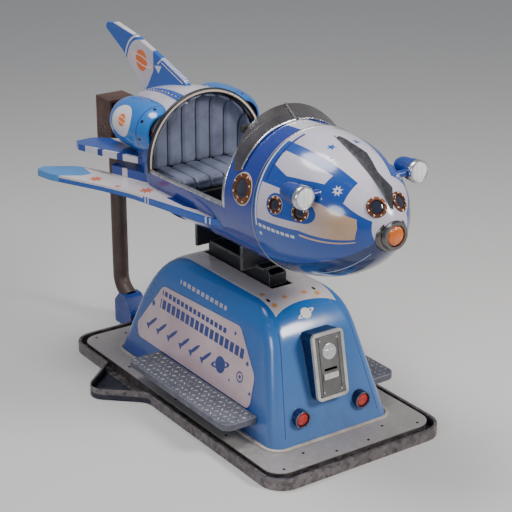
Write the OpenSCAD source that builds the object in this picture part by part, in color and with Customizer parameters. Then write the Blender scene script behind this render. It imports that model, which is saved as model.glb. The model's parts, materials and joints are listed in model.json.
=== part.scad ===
// Coin-operated rocket ride: a small spaceship that rocks nose up and nose down on a floor base.
// Origin: on the floor under the rock pivot, at the middle of the base. +X is the rider's left
// (port), -Y is the nose, +Z is up. The port side is the mirror image of the starboard side.

/* [Base] */
// Width of the deck plate
deck_w = 660; // [600:10:800]
// Length of the deck plate
deck_l = 1276; // [1200:4:1500]
// Height of the deck plate's top above the floor
deck_h = 42; // [36:1:60]
// Thickness of the deck plate
deck_t = 3; // [2:0.5:5]
// Gap from the deck's edge to the outside of the rim at the sides
rim_side = 25; // [22:1:40]
// Gap from the deck's edge to the outside of the rim at the front and rear
rim_end = 37; // [24:1:60]
// Thickness of the pan's pressed steel
pan_t = 4; // [3:0.5:6]
// Width of the rolled lip along the rim
lip_w = 11; // [8:1:14]
// How far each rounded ear reaches out past the rim
ear_reach = 148; // [100:2:180]
// Place of the ears' tips behind the middle
ear_y = 262; // [200:2:300]

/* [Pedestal] */
// Half width of the pedestal at the deck
ped_half_w = 245; // [230:1:260]
// Distance from the middle to the pedestal's front at the deck
ped_front = 512; // [480:2:540]
// Distance from the middle to the pedestal's rear at the deck
ped_rear = 507; // [480:2:540]
// Height of the pedestal's flat top above the floor
ped_top = 472; // [460:1:500]
// Wall of the pedestal shell
ped_wall = 6; // [4:0.5:10]
// Width of the light trim around the pedestal's foot
trim_w = 14; // [10:1:20]

/* [Foot steps] */
// Reach of each step's outer edge from the middle
step_reach = 359; // [340:1:380]
// Height of the step's tread above the floor
step_z = 124; // [100:1:150]
// Front end of the steps, ahead of the middle
step_front = 397; // [340:1:410]
// Rear end of the steps, behind the middle
step_rear = 223; // [180:1:260]
// Depth of the step's rolled edge
step_edge = 24; // [16:1:34]

/* [Rock drive] */
// Height of the rock pivot above the floor
pivot_z = 415; // [405:1:425]
// Largest rock to each side of level, in degrees
rock_deg = 5; // [3:0.5:5]
// Radius of the pivot shaft
shaft_r = 15; // [12:0.5:18]
// Half width of the rocker box
rocker_half_w = 35; // [30:1:40]
// Height of the crank shaft above the floor
crank_z = 200; // [190:1:210]
// Radius of the crank roller
roller_r = 10; // [8:0.5:12]
// Radial running clearance of shafts in their bores
run_fit = 0.05; // [0.02:0.01:0.1]

/* [Ship body] */
// Radius of the hull at the seat hoop
hull_r_rear = 235; // [225:1:240]
// Radius of the hull at the nose seam
hull_r_front = 241; // [235:1:245]
// Height of the hull's axis at the seat hoop
hull_z = 814; // [810:1:830]
// Place of the seat hoop behind the pivot
hoop_y = 260; // [240:2:280]
// Length of the open cockpit
cockpit_l = 482; // [440:2:520]
// Length of the closed band between the cockpit and the nose seam
band_l = 163; // [150:1:180]
// Length of the nose in front of the seam
nose_l = 402; // [380:2:430]
// Wall of the moulded hull
hull_wall = 6; // [4:0.5:8]
// Length of the tapered tail
tail_l = 424; // [400:2:440]
// Radius of the tail's end
tail_end_r = 45; // [36:1:55]
// Upward pitch of the tail's axis, in degrees
tail_pitch = 14.8; // [12:0.2:16]
// Thickness of the wings
wing_t = 24; // [16:1:30]
// Height of the middle of the wings
wing_z = 727; // [720:1:735]
// Thickness of the tail fin
fin_t = 20; // [14:1:28]

/* [Cockpit] */
// Height of the top of the seat cushion
seat_z = 779; // [770:1:790]
// Thickness of the seat cushion
cushion_t = 45; // [35:1:60]
// Depth of the seat cushion from front to back
cushion_d = 210; // [180:2:220]
// Height of the foot well's floor
well_z = 628; // [615:1:640]
// Half width of the handlebar
bar_half_w = 110; // [90:2:130]
// Radius of the rubber grips
grip_r = 13; // [11:0.5:16]

/* [Coin box] */
// Width of the coin bezel
bezel_w = 128; // [116:2:140]
// Height of the coin bezel along its slope
bezel_h = 230; // [210:2:250]
// Backward lean of the coin door, in degrees
door_tilt = 11.2; // [8:0.2:14]
// Thickness of the coin door plate
door_t = 6; // [4:0.5:8]

/* [Speaker post] */
// Outside radius of the post's tube
post_r = 31; // [26:1:34]
// Distance of the post behind the pivot
post_y = 812; // [806:1:830]
// Sideways place of the post
post_x = -50; // [-60:1:-46]
// Height of the bottom of the speaker box
box_z = 744; // [700:2:744]
// Height of the speaker box
box_h = 173; // [140:1:173]

/* [Hidden] */

gap = 0.3;                                  // clearance between pieces that only lie near each other
round_fn = 96;
blue = "mediumblue";
cream = "antiquewhite";
steel = "dimgray";
galvanised = "darkgray";

// Base
rim_half_w = deck_w / 2 + rim_side;
rim_half_l = deck_l / 2 + rim_end;
rim_h = deck_h - 2;
deck_r = 62;
rim_r = deck_r + 18;
deck_wall_t = 4;
deck_inset = 26;                            // deck edge to the rivets' line
rivet_r = 5;

// Pedestal: straight leaning sides, then a rounded shoulder up to the flat top
side_lean = 0.2;
front_lean = 0.33;
rear_lean = 0.38;
side_round = [45, 75];                      // how far the shoulder turns in, and over what height
front_round = [100, 130];
rear_round = [150, 230];
ped_corner = 50;
ped_levels = 14;
marker_z = 126.5;
slot_half_w = rocker_half_w + 9;
slot_half_l = 214;

function turn_in(z, r) = let (s = max(0, (z - ped_top + r[1]) / r[1])) r[0] * (1 - sqrt(max(0, 1 - s * s)));
function ped_w_at(z) = ped_half_w - side_lean * (z - deck_h) - turn_in(z, side_round);
function ped_front_at(z) = ped_front - front_lean * (z - deck_h) - turn_in(z, front_round);
function ped_rear_at(z) = ped_rear - rear_lean * (z - deck_h) - turn_in(z, rear_round);
side_angle = atan(side_lean);

// Rock drive
crank_drop = pivot_z - crank_z;
crank_e = crank_drop * tan(rock_deg);       // crank throw that gives the full rock at a quarter turn
slot_play = crank_e * 0.225 + 0.3;          // the rock's motion is taken as linear in the crank's turn
roller_slot_r = roller_r + slot_play;
rocker_front = 185;
rocker_rear = 191;
rocker_top = 533;
rocker_bottom = pivot_z - 62;
rocker_t = 6;
chamfer = 26;
beam_in = 60;
beam_out = 110;
beam_t = 15;
bearing_r = 28;
beam_top = pivot_z - 30;
upright_y = 160;
upright_w = 30;
shelf_z = 135;
shelf_t = 6;
rail_t = 15;
yoke_t = 12;
yoke_half_w = 32;
yoke_bottom = crank_z - 56;
crank_x = 10;
crank_t = 12;
crank_disc_r = 34;
crank_shaft_r = 12;
crank_pin_r = 6;
gearbox = [80, 100, 121];
gearbox_x = 32;
motor_r = 42;
motor_l = 85;
saddle_t = 8;
saddle_half_w = 64;
saddle_half_l = 188;
cradle_y = 140;
cradle_t = 12;
cradle_half_w = 120;
bolt_r = 6;

// Ship
hull_pitch = 1.5;
nose_pitch = 2.5;
seam_s = cockpit_l + band_l;
sill = -24;                                 // sill height from the hull's axis
nose_lead = 155;                            // how far behind the seam the nose curve starts
nose_over = 24;                             // how far its curve runs back past the seam before it is trimmed
nose_power = 3;
nose_round = 0.64;
nose_base_r = hull_r_front / pow(1 - pow(nose_lead / (nose_lead + nose_l), nose_power), nose_round);
tail_r = hull_r_rear - 1;
tail_power = 1.6;
trim_in = 224;
trim_out = 242;
trim_t = 14;
rail_r = 8;
fin_root = 355;

function hull_r(s) = hull_r_rear + (hull_r_front - hull_r_rear) * s / seam_s;
function nose_r(s) = nose_base_r * pow(max(0, 1 - pow((s + nose_lead) / (nose_lead + nose_l), nose_power)), nose_round);
function nose_slope(s) = atan((nose_r(s - 1) - nose_r(s + 1)) / 2);
function tail_r_at(u) = u < 0 ? tail_r : tail_end_r + (tail_r - tail_end_r) * (1 - pow(u, tail_power));

// Places on the ship: distance forward, and angle up from the side
big_port = [574, 15];
big_port_r = 44;
small_ports = [[99, 11.7], [194, 10.7]];
small_port_r = 25;
eye_port = [370, 55];
eye_r = 29;
lamp_at = [222, -522, 947];
lamp_l = 109;
lamp_r = 34;
stalk_at = [-606, 945];
nose_lamp_at = [0, -735, 830];
nose_lamp_r = 58;
pod_at = [167, 392, 920];
pod_half_l = 153;
pod_r = 92;
pod_wall = 5;

// Cockpit
back_face = 330;
cushion_back = back_face - 8;
pan_z = seat_z - cushion_t - gap;
pan_t2 = 6;
bar_at = [0, -138, 1023];
bar_pitch = 36;
bar_r = 10;
column_l = 108;
column_r = 14;
dash_s = cockpit_l + 12;

visor_foot = 110;                           // height above the hull's axis where its ends stop
visor_rise = 45;
visor_s = [488, 545];
visor_top_r = 238;

// Coin box
bezel_at = [0, -486, 284];
bezel_d = 10;
bezel_rim = 12;
bezel_r = 18;
door_play = 1.5;
door_half_w = bezel_w / 2 - bezel_rim - door_play;
door_half_h = bezel_h / 2 - bezel_rim - door_play;
hinge_r = 2;
hinge_x = door_half_w - 3;
hinge_out = -1 - door_t / 2;
medallion_r = 28;
button_w = 60;
button_h = 20;
slot_h = 9;
lock_y = 20;
lock_r = 9;

// Speaker post
post_wall = 4;
bend_r = 70;
bend_deg = 60;
bend_z = 190;
foot_half_w = 40;
foot_h = 128;
box_w = 116;
box_d = 106;
box_t = 3;
speaker_r = 40;

// ---------------------------------------------------------------- helpers

function unit(v) = v / norm(v);

// Points of an arc of radius r that rounds the corner b between a and c
function corner(a, b, c, r, n = 6) = r <= 0 ? [b] :
    let (u = unit(a - b), w = unit(c - b), h = acos(u * w) / 2, d = r / tan(h),
         o = b + unit(u + w) * r / sin(h), s = b + u * d, e = b + w * d,
         a0 = atan2(s.y - o.y, s.x - o.x), a1 = atan2(e.y - o.y, e.x - o.x),
         turn = (a1 - a0 + 540) % 360 - 180)
    [for (i = [0:n]) o + r * [cos(a0 + turn * i / n), sin(a0 + turn * i / n)]];

// A closed outline whose corners [x, y, r] are rounded
function rounded(p) = let (m = len(p)) [for (i = [0:m - 1])
    let (a = p[(i + m - 1) % m], b = p[i], c = p[(i + 1) % m])
    each corner([a.x, a.y], [b.x, b.y], [c.x, c.y], b[2])];

function flipped(p) = [for (i = [len(p) - 1:-1:0]) [-p[i].x, p[i].y, p[i][2]]];
function box_outline(w, h, r) = rounded([[w, -h, r], [w, h, r], [-w, h, r], [-w, -h, r]]);

// Outline of the pan, drawn in from its outer edge by d
function pan_half(d) = let (w = rim_half_w - d, l = rim_half_l - d, tip = ear_reach + 17 - d * 0.6) [
    [w, -l, rim_r - d], [w, ear_y - 158 + d * 0.4, 70 + d], [rim_half_w + tip, ear_y - 4, 55 - d],
    [w, ear_y + 144 - d * 0.4, 30 + d], [w, l, rim_r - d]];
function pan_outline(d) = rounded(concat(pan_half(d), flipped(pan_half(d))));

module both_sides() {
    children();
    mirror([1, 0, 0]) children();
}

module ring(h, r_out, r_in) {
    difference() {
        cylinder(h = h, r = r_out, $fn = round_fn);
        translate([0, 0, -1]) cylinder(h = h + 2, r = r_in, $fn = round_fn);
    }
}

// Along X, centred on x
module rod_x(x0, x1, r) {
    translate([x0, 0, 0]) rotate([0, 90, 0]) cylinder(h = x1 - x0, r = r, $fn = round_fn);
}

// A side profile of [y, z] points, extruded to the given thickness about x
module side_plate(points, t, x = 0) {
    translate([x + t / 2, 0, 0]) rotate([90, 0, -90]) mirror([1, 0, 0]) linear_extrude(t) polygon(points);
}

// Frames of the hull (z forward, y up), the nose and the tail (z to the rear)
module hull_axis() { translate([0, hoop_y, hull_z]) rotate([90 - hull_pitch, 0, 0]) children(); }
module nose_axis() { hull_axis() translate([0, 0, seam_s]) rotate([-nose_pitch, 0, 0]) children(); }
module tail_axis() { translate([0, hoop_y, hull_z]) rotate([tail_pitch - 90, 0, 0]) children(); }
module door_axis() { translate(bezel_at) rotate([90 - door_tilt, 0, 0]) children(); }
module bar_axis() { translate(bar_at) rotate([90 + bar_pitch, 0, 0]) children(); }
module pivot_axis() { translate([0, 0, pivot_z]) children(); }
module crank_axis() { translate([0, 0, crank_z]) children(); }
module lamp_axis() { translate(lamp_at) rotate([90, 0, 0]) children(); }
module nose_lamp_axis() { translate(nose_lamp_at) rotate([90, 0, 0]) children(); }

// On the skin, with z pointing outwards: s forward, a degrees up from the port side
module on_band(s, a) {
    hull_axis() translate([0, 0, s]) rotate([0, 0, a]) translate([hull_r(s), 0, 0]) rotate([0, 90, 0]) children();
}
module on_nose(s, a) {
    nose_axis() translate([0, 0, s]) rotate([0, 0, a]) translate([nose_r(s), 0, 0])
        rotate([0, 90 - nose_slope(s), 0]) children();
}

module cone_body(grow, s0, s1) {
    hull_axis() translate([0, 0, s0])
        cylinder(h = s1 - s0, r1 = hull_r(s0) + grow, r2 = hull_r(s1) + grow, $fn = round_fn);
}

module nose_body(grow, n = 18) {
    nose_axis() rotate_extrude($fn = round_fn) polygon(concat([[0, -nose_over], [nose_r(-nose_over) + grow, -nose_over]],
        [for (i = [0:n - 1]) let (s = nose_l * sin(90 * i / n)) [max(0.5, nose_r(s) + grow), s]],
        [[0, nose_l + grow]]));
}

module tail_body(grow, n = 12) {
    difference() {
        tail_axis() rotate_extrude($fn = round_fn) polygon(concat([[0, -70], [tail_r + grow, -70]],
            [for (i = [0:n]) let (u = i / n) [tail_r_at(u) + grow, u * tail_l]],
            [[0, tail_l + max(0, grow)]]));
        hull_axis() translate([-400, -400, 0]) cube([800, 800, 400]);
    }
}

module ship_body(grow) {
    cone_body(grow, -0.1, seam_s + 0.1);
    nose_body(grow);
    tail_body(grow);
}

module pedestal_body(grow) {
    hull() for (i = [0:ped_levels]) {
        z = deck_h + (ped_top - deck_h) * sin(90 * i / ped_levels);
        lift = i == ped_levels ? grow : 0;
        for (sx = [-1, 1], end = [-1, 1]) {
            y = end < 0 ? -ped_front_at(z) + ped_corner : ped_rear_at(z) - ped_corner;
            translate([sx * (ped_w_at(z) - ped_corner), y, z + lift + 0.02])
                cylinder(h = 0.01, r = ped_corner + grow, $fn = 32);
        }
    }
}

// ---------------------------------------------------------------- base

module base_pan() color(galvanised) {
    linear_extrude(pan_t) polygon(pan_outline(0));
    linear_extrude(rim_h) difference() {
        polygon(pan_outline(0));
        polygon(pan_outline(pan_t));
    }
    translate([0, 0, rim_h - 8]) linear_extrude(8) difference() {
        polygon(pan_outline(0));
        polygon(pan_outline(lip_w));
    }
    linear_extrude(deck_h - deck_t) difference() {
        polygon(box_outline(deck_w / 2 - 2, deck_l / 2 - 2, deck_r));
        polygon(box_outline(deck_w / 2 - 2 - deck_wall_t, deck_l / 2 - 2 - deck_wall_t, deck_r - deck_wall_t));
    }
    for (y = [-420, -140, 140, 420])
        translate([-deck_w / 2 + 4, y - 15, 0]) cube([deck_w - 8, 30, deck_h - deck_t]);
}

module deck_plate() color("silver") {
    translate([0, 0, deck_h - deck_t]) linear_extrude(deck_t) difference() {
        polygon(box_outline(deck_w / 2, deck_l / 2, deck_r));
        for (p = rivet_places()) translate(p) circle(r = 2.5, $fn = 24);
    }
}

function rivet_places() = let (w = deck_w / 2 - deck_inset, l = deck_l / 2 - deck_inset) concat(
    [for (sx = [-1, 1], y = [-l, -l * 0.52, 0, l * 0.52, l]) [sx * (w - (abs(y) == l ? 26 : 0)), y]],
    [for (sx = [-1, 1], y = [-l, l]) [sx * 66, y]],
    [for (sx = [-1, 1]) [sx * 165, -l + 50]], [for (sx = [-1, 1]) [sx * 165, l - 26]]);

module deck_rivets() color(steel) {
    for (p = rivet_places()) translate([p.x, p.y, deck_h]) {
        rotate_extrude($fn = 24) polygon([[0, 0], [rivet_r, 0], [rivet_r * 0.8, 1.6], [0, 2.6]]);
        translate([0, 0, -deck_t]) cylinder(h = deck_t + 0.1, r = 2.4, $fn = 24);
    }
}

module pedestal_trim() color(cream) {
    difference() {
        translate([0, 0, deck_h]) linear_extrude(5) polygon(rounded([
            [ped_half_w + trim_w, -ped_front - trim_w, ped_corner + trim_w],
            [ped_half_w + trim_w, ped_rear + trim_w, ped_corner + trim_w],
            [-ped_half_w - trim_w, ped_rear + trim_w, ped_corner + trim_w],
            [-ped_half_w - trim_w, -ped_front - trim_w, ped_corner + trim_w]]));
        translate([0, 0, deck_h - 1]) linear_extrude(7) polygon(rounded([
            [ped_half_w + gap, -ped_front - gap, ped_corner],
            [ped_half_w + gap, ped_rear + gap, ped_corner],
            [-ped_half_w - gap, ped_rear + gap, ped_corner],
            [-ped_half_w - gap, -ped_front - gap, ped_corner]]));
    }
}

// ---------------------------------------------------------------- pedestal

module pedestal_shell() color(blue) {
    difference() {
        pedestal_body(0);
        translate([0, 0, -0.1]) pedestal_body(-ped_wall);
        translate([-slot_half_w, -slot_half_l, ped_top - 60]) cube([2 * slot_half_w, 2 * slot_half_l, 100]);
        door_axis() translate([-45, -95, -140]) cube([90, 190, 160]);
        for (sx = [-1, 1]) translate([sx * 125, -400, marker_z]) rotate([90, 0, 0]) cylinder(h = 160, r = 7, $fn = 24);
    }
}

// Sheet panels let into the flanks: a rounded quadrilateral on the leaning side wall
side_panel_points = [[-346, 127, 26], [-346, 244, 40], [-226, 379, 34], [260, 361, 40], [393, 176, 26], [372, 130, 22]];
panel_t = 3;

module side_panels() color(cream) both_sides() {
    x_foot = ped_half_w + gap;
    translate([x_foot, 0, deck_h]) rotate([0, -side_angle, 0]) rotate([90, 0, 90])
        linear_extrude(panel_t) polygon(rounded([for (p = side_panel_points) [p.x, p.y - deck_h, p[2]]]));
}

module footsteps() color(galvanised) both_sides() {
    difference() {
        union() {
            translate([0, 0, step_z - 3]) linear_extrude(3) polygon(step_outline(0));
            translate([0, 0, step_z - step_edge]) linear_extrude(step_edge) difference() {
                polygon(step_outline(0));
                polygon(step_outline(4));
            }
            for (y = [-step_front + 90, step_rear - 90])
                translate([ped_half_w - 30, y - 20, step_z - 50]) cube([step_reach - ped_half_w, 40, 47]);
        }
        pedestal_body(panel_t + 2 * gap);
    }
}

function step_outline(d) = rounded([[step_reach - d, -step_front + d, 34 - d], [step_reach - d, step_rear - d, 16 - d],
    [ped_half_w - 60, step_rear - d, 0], [ped_half_w - 60, -step_front + d, 0]]);

module marker_at() { both_sides() translate([125, -505, marker_z]) rotate([-90, 0, 0]) children(); }

module marker_housings() color(blue) difference() {
    marker_at() {
        translate([0, 0, -3]) ring(60, 30, 25);
        translate([0, 0, 8]) cylinder(h = 50, r = 25.5, $fn = round_fn);
    }
    pedestal_body(gap);
}

module marker_lenses() color("red") marker_at()
    rotate_extrude($fn = round_fn) polygon([[0, -2], [14, -0.5], [22, 2.5], [24.8, 5], [24.8, 7.8], [0, 7.8]]);

// ---------------------------------------------------------------- coin box

module coin_slab(w, h, r, z0, z1) {
    translate([0, 0, z0]) linear_extrude(z1 - z0) polygon(box_outline(w, h, r));
}

module coin_housing() color(blue) difference() {
    door_axis() difference() {
        coin_slab(bezel_w / 2, bezel_h / 2, bezel_r, -170, -bezel_d);
        coin_slab(bezel_w / 2 - 6, bezel_h / 2 - 6, bezel_r - 6, -171, -bezel_d + 1);
    }
    pedestal_body(gap);
    lock_axis() cylinder(h = 40, r = lock_r + run_fit, center = true, $fn = round_fn);
}

module coin_bezel() color("white") door_axis() difference() {
    coin_slab(bezel_w / 2, bezel_h / 2, bezel_r, -bezel_d, 0);
    coin_slab(bezel_w / 2 - bezel_rim, bezel_h / 2 - bezel_rim, door_play * 2, -bezel_d - 1, 1);
    translate([hinge_x, 0, hinge_out]) rotate([90, 0, 0])
        cylinder(h = 2 * door_half_h + 14, r = hinge_r + run_fit, center = true, $fn = 48);
}

module coin_door() color("gray") door_axis() {
    for (end = [-1, 1]) translate([hinge_x, end * (door_half_h + 2), hinge_out]) rotate([90, 0, 0])
        cylinder(h = 8, r = hinge_r, center = true, $fn = 48);
    difference() {
        coin_slab(door_half_w, door_half_h, 8, -1 - door_t, -1);
        translate([-button_w / 2 - 0.5, -47.5, -20]) cube([button_w + 1, button_h + 1, 40]);
        translate([-26, -18, -20]) cube([52, slot_h, 40]);
    }
}

module door_fittings() color("lightgray") door_axis() {
    translate([0, 47, -1]) rotate_extrude($fn = round_fn)
        polygon([[0, 0], [medallion_r, 0], [medallion_r, 1.5], [medallion_r - 2, 3], [0, 3]]);
    for (x = [-1, 1], y = [-1, 1]) translate([x * (door_half_w - 15), y * (door_half_h - 13), -1])
        rotate_extrude($fn = 24) polygon([[0, 0], [4.5, 0], [3.5, 2], [0, 2.4]]);
}

module reject_button() color("lightgray") door_axis() translate([-button_w / 2, -47, -14]) cube([button_w, button_h, 15]);

module coin_mechanism() color(steel) door_axis() difference() {
    translate([-34, -70, -58]) cube([72, 165, 58 - 1 - door_t]);
    translate([-button_w / 2 - 3, -50, -32]) cube([button_w + 6, button_h + 6, 40]);
    translate([-26, -19, -50]) cube([52, slot_h + 2, 60]);
}

module cash_box() color(steel) difference() {
    translate([-42, -450, deck_h]) cube([84, 110, 104]);
    translate([-40, -448, deck_h + 2]) cube([80, 106, 104]);
}

// The lock stands in the housing's port wall
module lock_axis() {
    door_axis() translate([bezel_w / 2 - 3, lock_y, -26]) rotate([0, 90, 0]) children();
}

module cam_lock() color("lightgray") lock_axis() {
    translate([0, 0, -9]) cylinder(h = 12 + 3, r = lock_r, $fn = round_fn);
    translate([0, 0, 3 + gap]) cylinder(h = 4, r = lock_r + 3, $fn = round_fn);
    translate([-4, -7, -9]) cube([8, 14, 5]);
}

// ---------------------------------------------------------------- speaker post

module pipe_end(r_out, r_in) {
    difference() {
        circle(r = r_out, $fn = round_fn);
        circle(r = r_in, $fn = round_fn);
    }
}

module post_pipe(r_out, r_in, tail) {
    translate([post_x, post_y, bend_z]) linear_extrude(box_z - bend_z) pipe_end(r_out, r_in);
    translate([post_x, post_y - bend_r, bend_z]) {
        rotate([90, 0, 90]) rotate([0, 0, -bend_deg])
            rotate_extrude(angle = bend_deg, $fn = round_fn) translate([bend_r, 0]) pipe_end(r_out, r_in);
        rotate([-bend_deg, 0, 0]) translate([0, bend_r, -tail]) linear_extrude(tail) pipe_end(r_out, r_in);
    }
}

module speaker_post() color("rosybrown") post_pipe(post_r, post_r - post_wall, 34);

module post_foot() color(blue) difference() {
    side_plate(rounded([[rim_half_l + gap, 0, 0], [800, 0, 12], [800, 92, 20], [766, foot_h, 10],
        [722, foot_h, 24], [rim_half_l + gap, 64, 10]]), 2 * foot_half_w, post_x);
    translate([post_x, post_y - bend_r, bend_z]) rotate([-bend_deg, 0, 0])
        translate([0, bend_r, -34 - gap]) cylinder(h = 60, r = post_r + gap, $fn = round_fn);
}

module speaker_box() color("saddlebrown") translate([post_x, post_y - 8, box_z]) difference() {
    translate([-box_w / 2, -box_d / 2, 0]) cube([box_w, box_d, box_h]);
    translate([-box_w / 2 + 6, -box_d / 2 + box_t, box_t]) cube([box_w - 6 - box_t, box_d - 2 * box_t, box_h - 2 * box_t]);
    translate([-box_w / 2 - 1, -box_d / 2 + 14, 14]) cube([20, box_d - 28, box_h - 28]);
}

module speaker_grille() color("black") translate([post_x - box_w / 2 + 2, post_y - 8, box_z]) difference() {
    translate([0, -box_d / 2 + 14.5, 14.5]) cube([3, box_d - 29, box_h - 29]);
    for (a = [0:30:330], k = [12, 24, 34])
        translate([0, k * cos(a + k), box_h / 2 - 18 + k * sin(a + k)]) rod_x(-2, 6, 3);
}

module speaker_driver() color("black") translate([post_x - box_w / 2 + 6.3, post_y - 8, box_z + box_h / 2 - 18])
    rotate([0, 90, 0]) rotate_extrude($fn = round_fn) polygon([[0, 22], [12, 22], [speaker_r - 4, 3],
        [speaker_r - 4, 0], [speaker_r + 4, 0], [speaker_r + 4, 4], [22, 30], [26, 30], [26, 48], [0, 48]]);

// ---------------------------------------------------------------- rock drive

module drive_frame() color("slategray") both_sides() {
    translate([beam_out - upright_w, -220, deck_h]) cube([upright_w, 520, rail_t]);
    for (y = [-upright_y, upright_y]) translate([beam_out - upright_w, y - upright_w / 2, deck_h + rail_t])
        cube([upright_w, upright_w, beam_top - beam_t - deck_h - rail_t]);
    translate([beam_in, -upright_y - 15, beam_top - beam_t]) cube([beam_out - beam_in, 2 * upright_y + 30, beam_t]);
    translate([-0.1, -upright_y + 15, shelf_z - shelf_t]) cube([beam_out - upright_w + 0.1, 2 * upright_y - 30, shelf_t]);
    translate([beam_out - upright_w, -upright_y, shelf_z - 2 * shelf_t]) cube([upright_w, 2 * upright_y, 2 * shelf_t]);
}

module pivot_bearings() color("darkgreen") both_sides() translate([62, 0, 0]) difference() {
    union() {
        pivot_axis() rod_x(0, 28, bearing_r);
        translate([0, -52, beam_top]) cube([28, 104, 12]);
    }
    pivot_axis() rod_x(-1, 40, shaft_r + run_fit);
}

module gear_motor() color("steelblue") {
    difference() {
        union() {
            translate([gearbox_x, -gearbox.y / 2, shelf_z]) cube(gearbox);
            translate([gearbox_x + gearbox.x / 2, gearbox.y / 2, crank_z + 12]) rotate([-90, 0, 0])
                cylinder(h = motor_l, r = motor_r, $fn = round_fn);
        }
        crank_axis() rod_x(gearbox_x - 1, gearbox_x + 50, crank_shaft_r + run_fit);
    }
}

module control_box() color("lightgray") difference() {
    translate([-beam_out, 214, deck_h + rail_t]) cube([2 * beam_out, 82, 150]);
    translate([-beam_out + 2, 216, deck_h + rail_t + 2]) cube([2 * beam_out - 4, 78, 146]);
}

module power_inlet() color("black") difference() {
    translate([120, ped_rear - 60, 78]) cube([50, 64, 34]);
    pedestal_body(gap);
    translate([131, ped_rear - 16, 85]) cube([28, 22, 20]);
}

module crank_arm() color("silver") crank_axis() {
    rod_x(crank_x, crank_x + crank_t, crank_disc_r);
    rod_x(crank_x + crank_t - 0.1, gearbox_x + 48, crank_shaft_r);
    translate([0, 0, -crank_e]) rod_x(-11, crank_x + 0.1, crank_pin_r);
}

module crank_roller() color("gold") translate([0, 0, crank_z - crank_e]) difference() {
    rod_x(-9, 9, roller_r);
    rod_x(-10, 10, crank_pin_r + run_fit);
}

// ---------------------------------------------------------------- rocker

rocker_side = [[-rocker_front, rocker_top, 0], [rocker_rear, rocker_top, 0], [rocker_rear, rocker_top - 66, 10],
    [60, rocker_bottom, 30], [-60, rocker_bottom, 30], [-rocker_front, rocker_top - 66, 10]];

module rocker_frame() color("darkslategray") difference() {
    union() {
        for (x = [-1, 1]) side_plate(rounded(rocker_chamfered()), rocker_t, x * (rocker_half_w - rocker_t / 2));
        translate([-rocker_half_w, -rocker_front + chamfer, rocker_top - rocker_t])
            cube([2 * rocker_half_w, rocker_front + rocker_rear - chamfer, rocker_t]);
        translate([-rocker_half_w, -rocker_front, rocker_top - 66]) cube([2 * rocker_half_w, rocker_t, 66 - chamfer]);
        pivot_axis() rod_x(-rocker_half_w, rocker_half_w, shaft_r + 10);
        side_plate(rounded([[-yoke_half_w, yoke_bottom, 16], [yoke_half_w, yoke_bottom, 16], [20, pivot_z, 0],
            [-20, pivot_z, 0]]), yoke_t);
    }
    pivot_axis() rod_x(-60, 60, shaft_r);
    hull() for (z = [crank_z - crank_e - 16, crank_z + 16])
        translate([0, 0, z]) rod_x(-yoke_t, yoke_t, roller_slot_r);
}

function rocker_chamfered() = concat([[-rocker_front, rocker_top - chamfer, 0], [-rocker_front + chamfer, rocker_top, 0]],
    [for (i = [1:len(rocker_side) - 1]) rocker_side[i]]);

module pivot_shaft() color("silver") pivot_axis() rod_x(-98, 98, shaft_r);

module saddle_plate() color("darkslategray") difference() {
    union() {
        translate([-saddle_half_w, -saddle_half_l, rocker_top]) cube([2 * saddle_half_w, 2 * saddle_half_l, saddle_t]);
        for (y = [-1, 1]) translate([-cradle_half_w, y * cradle_y - cradle_t / 2, rocker_top])
            cube([2 * cradle_half_w, cradle_t, 110]);
        translate([-6, -cradle_y, rocker_top]) cube([12, 2 * cradle_y, 110]);
    }
    cone_body(gap, -20, seam_s);
    tail_body(gap);
    for (x = [-1, 1], y = [-1, 1]) translate([x * 22, y * 110, rocker_top - 1]) cylinder(h = 20, r = bolt_r + 0.4, $fn = 32);
}

module saddle_bolts() color("silver") for (x = [-1, 1], y = [-1, 1]) translate([x * 22, y * 110, rocker_top]) {
    cylinder(h = saddle_t + 8, r = bolt_r, $fn = 32);
    translate([0, 0, saddle_t]) cylinder(h = 6, r = 10, $fn = 6);
}

// ---------------------------------------------------------------- hull

module hull_tub() color("navy") difference() {
    cone_body(0, 0, cockpit_l);
    cone_body(-hull_wall, -1, cockpit_l + 1);
    hull_axis() translate([-400, sill, -5]) cube([800, 400, cockpit_l + 10]);
}

module hull_band() color(blue) difference() {
    cone_body(0, cockpit_l, seam_s - 4);
    cone_body(-hull_wall, cockpit_l - 1, seam_s);
    both_sides() on_band(big_port[0], big_port[1]) cylinder(h = 60, r = big_port_r + gap, center = true, $fn = round_fn);
}

module nose_shell() color("aliceblue") difference() {
    nose_body(0);
    nose_inner();
    both_sides() {
        for (p = small_ports) on_nose(p[0], p[1]) cylinder(h = 60, r = small_port_r + gap, center = true, $fn = 48);
        on_nose(eye_port[0], eye_port[1]) cylinder(h = 50, r = eye_r + gap, center = true, $fn = 48);
    }
    nose_lamp_axis() cylinder(h = 80, r = 20, $fn = 48);
    nose_lamp_axis() translate([0, 0, 49.9]) cylinder(h = 30, r = nose_lamp_r);
    hull_axis() translate([-400, -400, seam_s - 200]) cube([800, 800, 200]);
}

module nose_inner(n = 16) {
    s_end = nose_l - 12;
    nose_axis() rotate_extrude($fn = round_fn) polygon(concat([[0, -nose_over - 1], [nose_r(-nose_over) - hull_wall, -nose_over - 1]],
        [for (i = [0:n]) let (s = s_end * sin(84 * i / n)) [max(0.5, nose_r(s) - hull_wall - s / 40), s]],
        [[0, s_end]]));
}

module seam_ring() color("lightgray") hull_axis() translate([0, 0, seam_s - 4 + 0.1])
    ring(3.8, hull_r_front + 2, hull_r_front - hull_wall);

module rear_fuselage() color("white") {
    difference() {
        tail_body(0);
        difference() {
            tail_body(-hull_wall);
            tail_axis() translate([-300, -300, tail_l - 8]) cube([600, 600, 20]);
        }
    }
}

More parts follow.
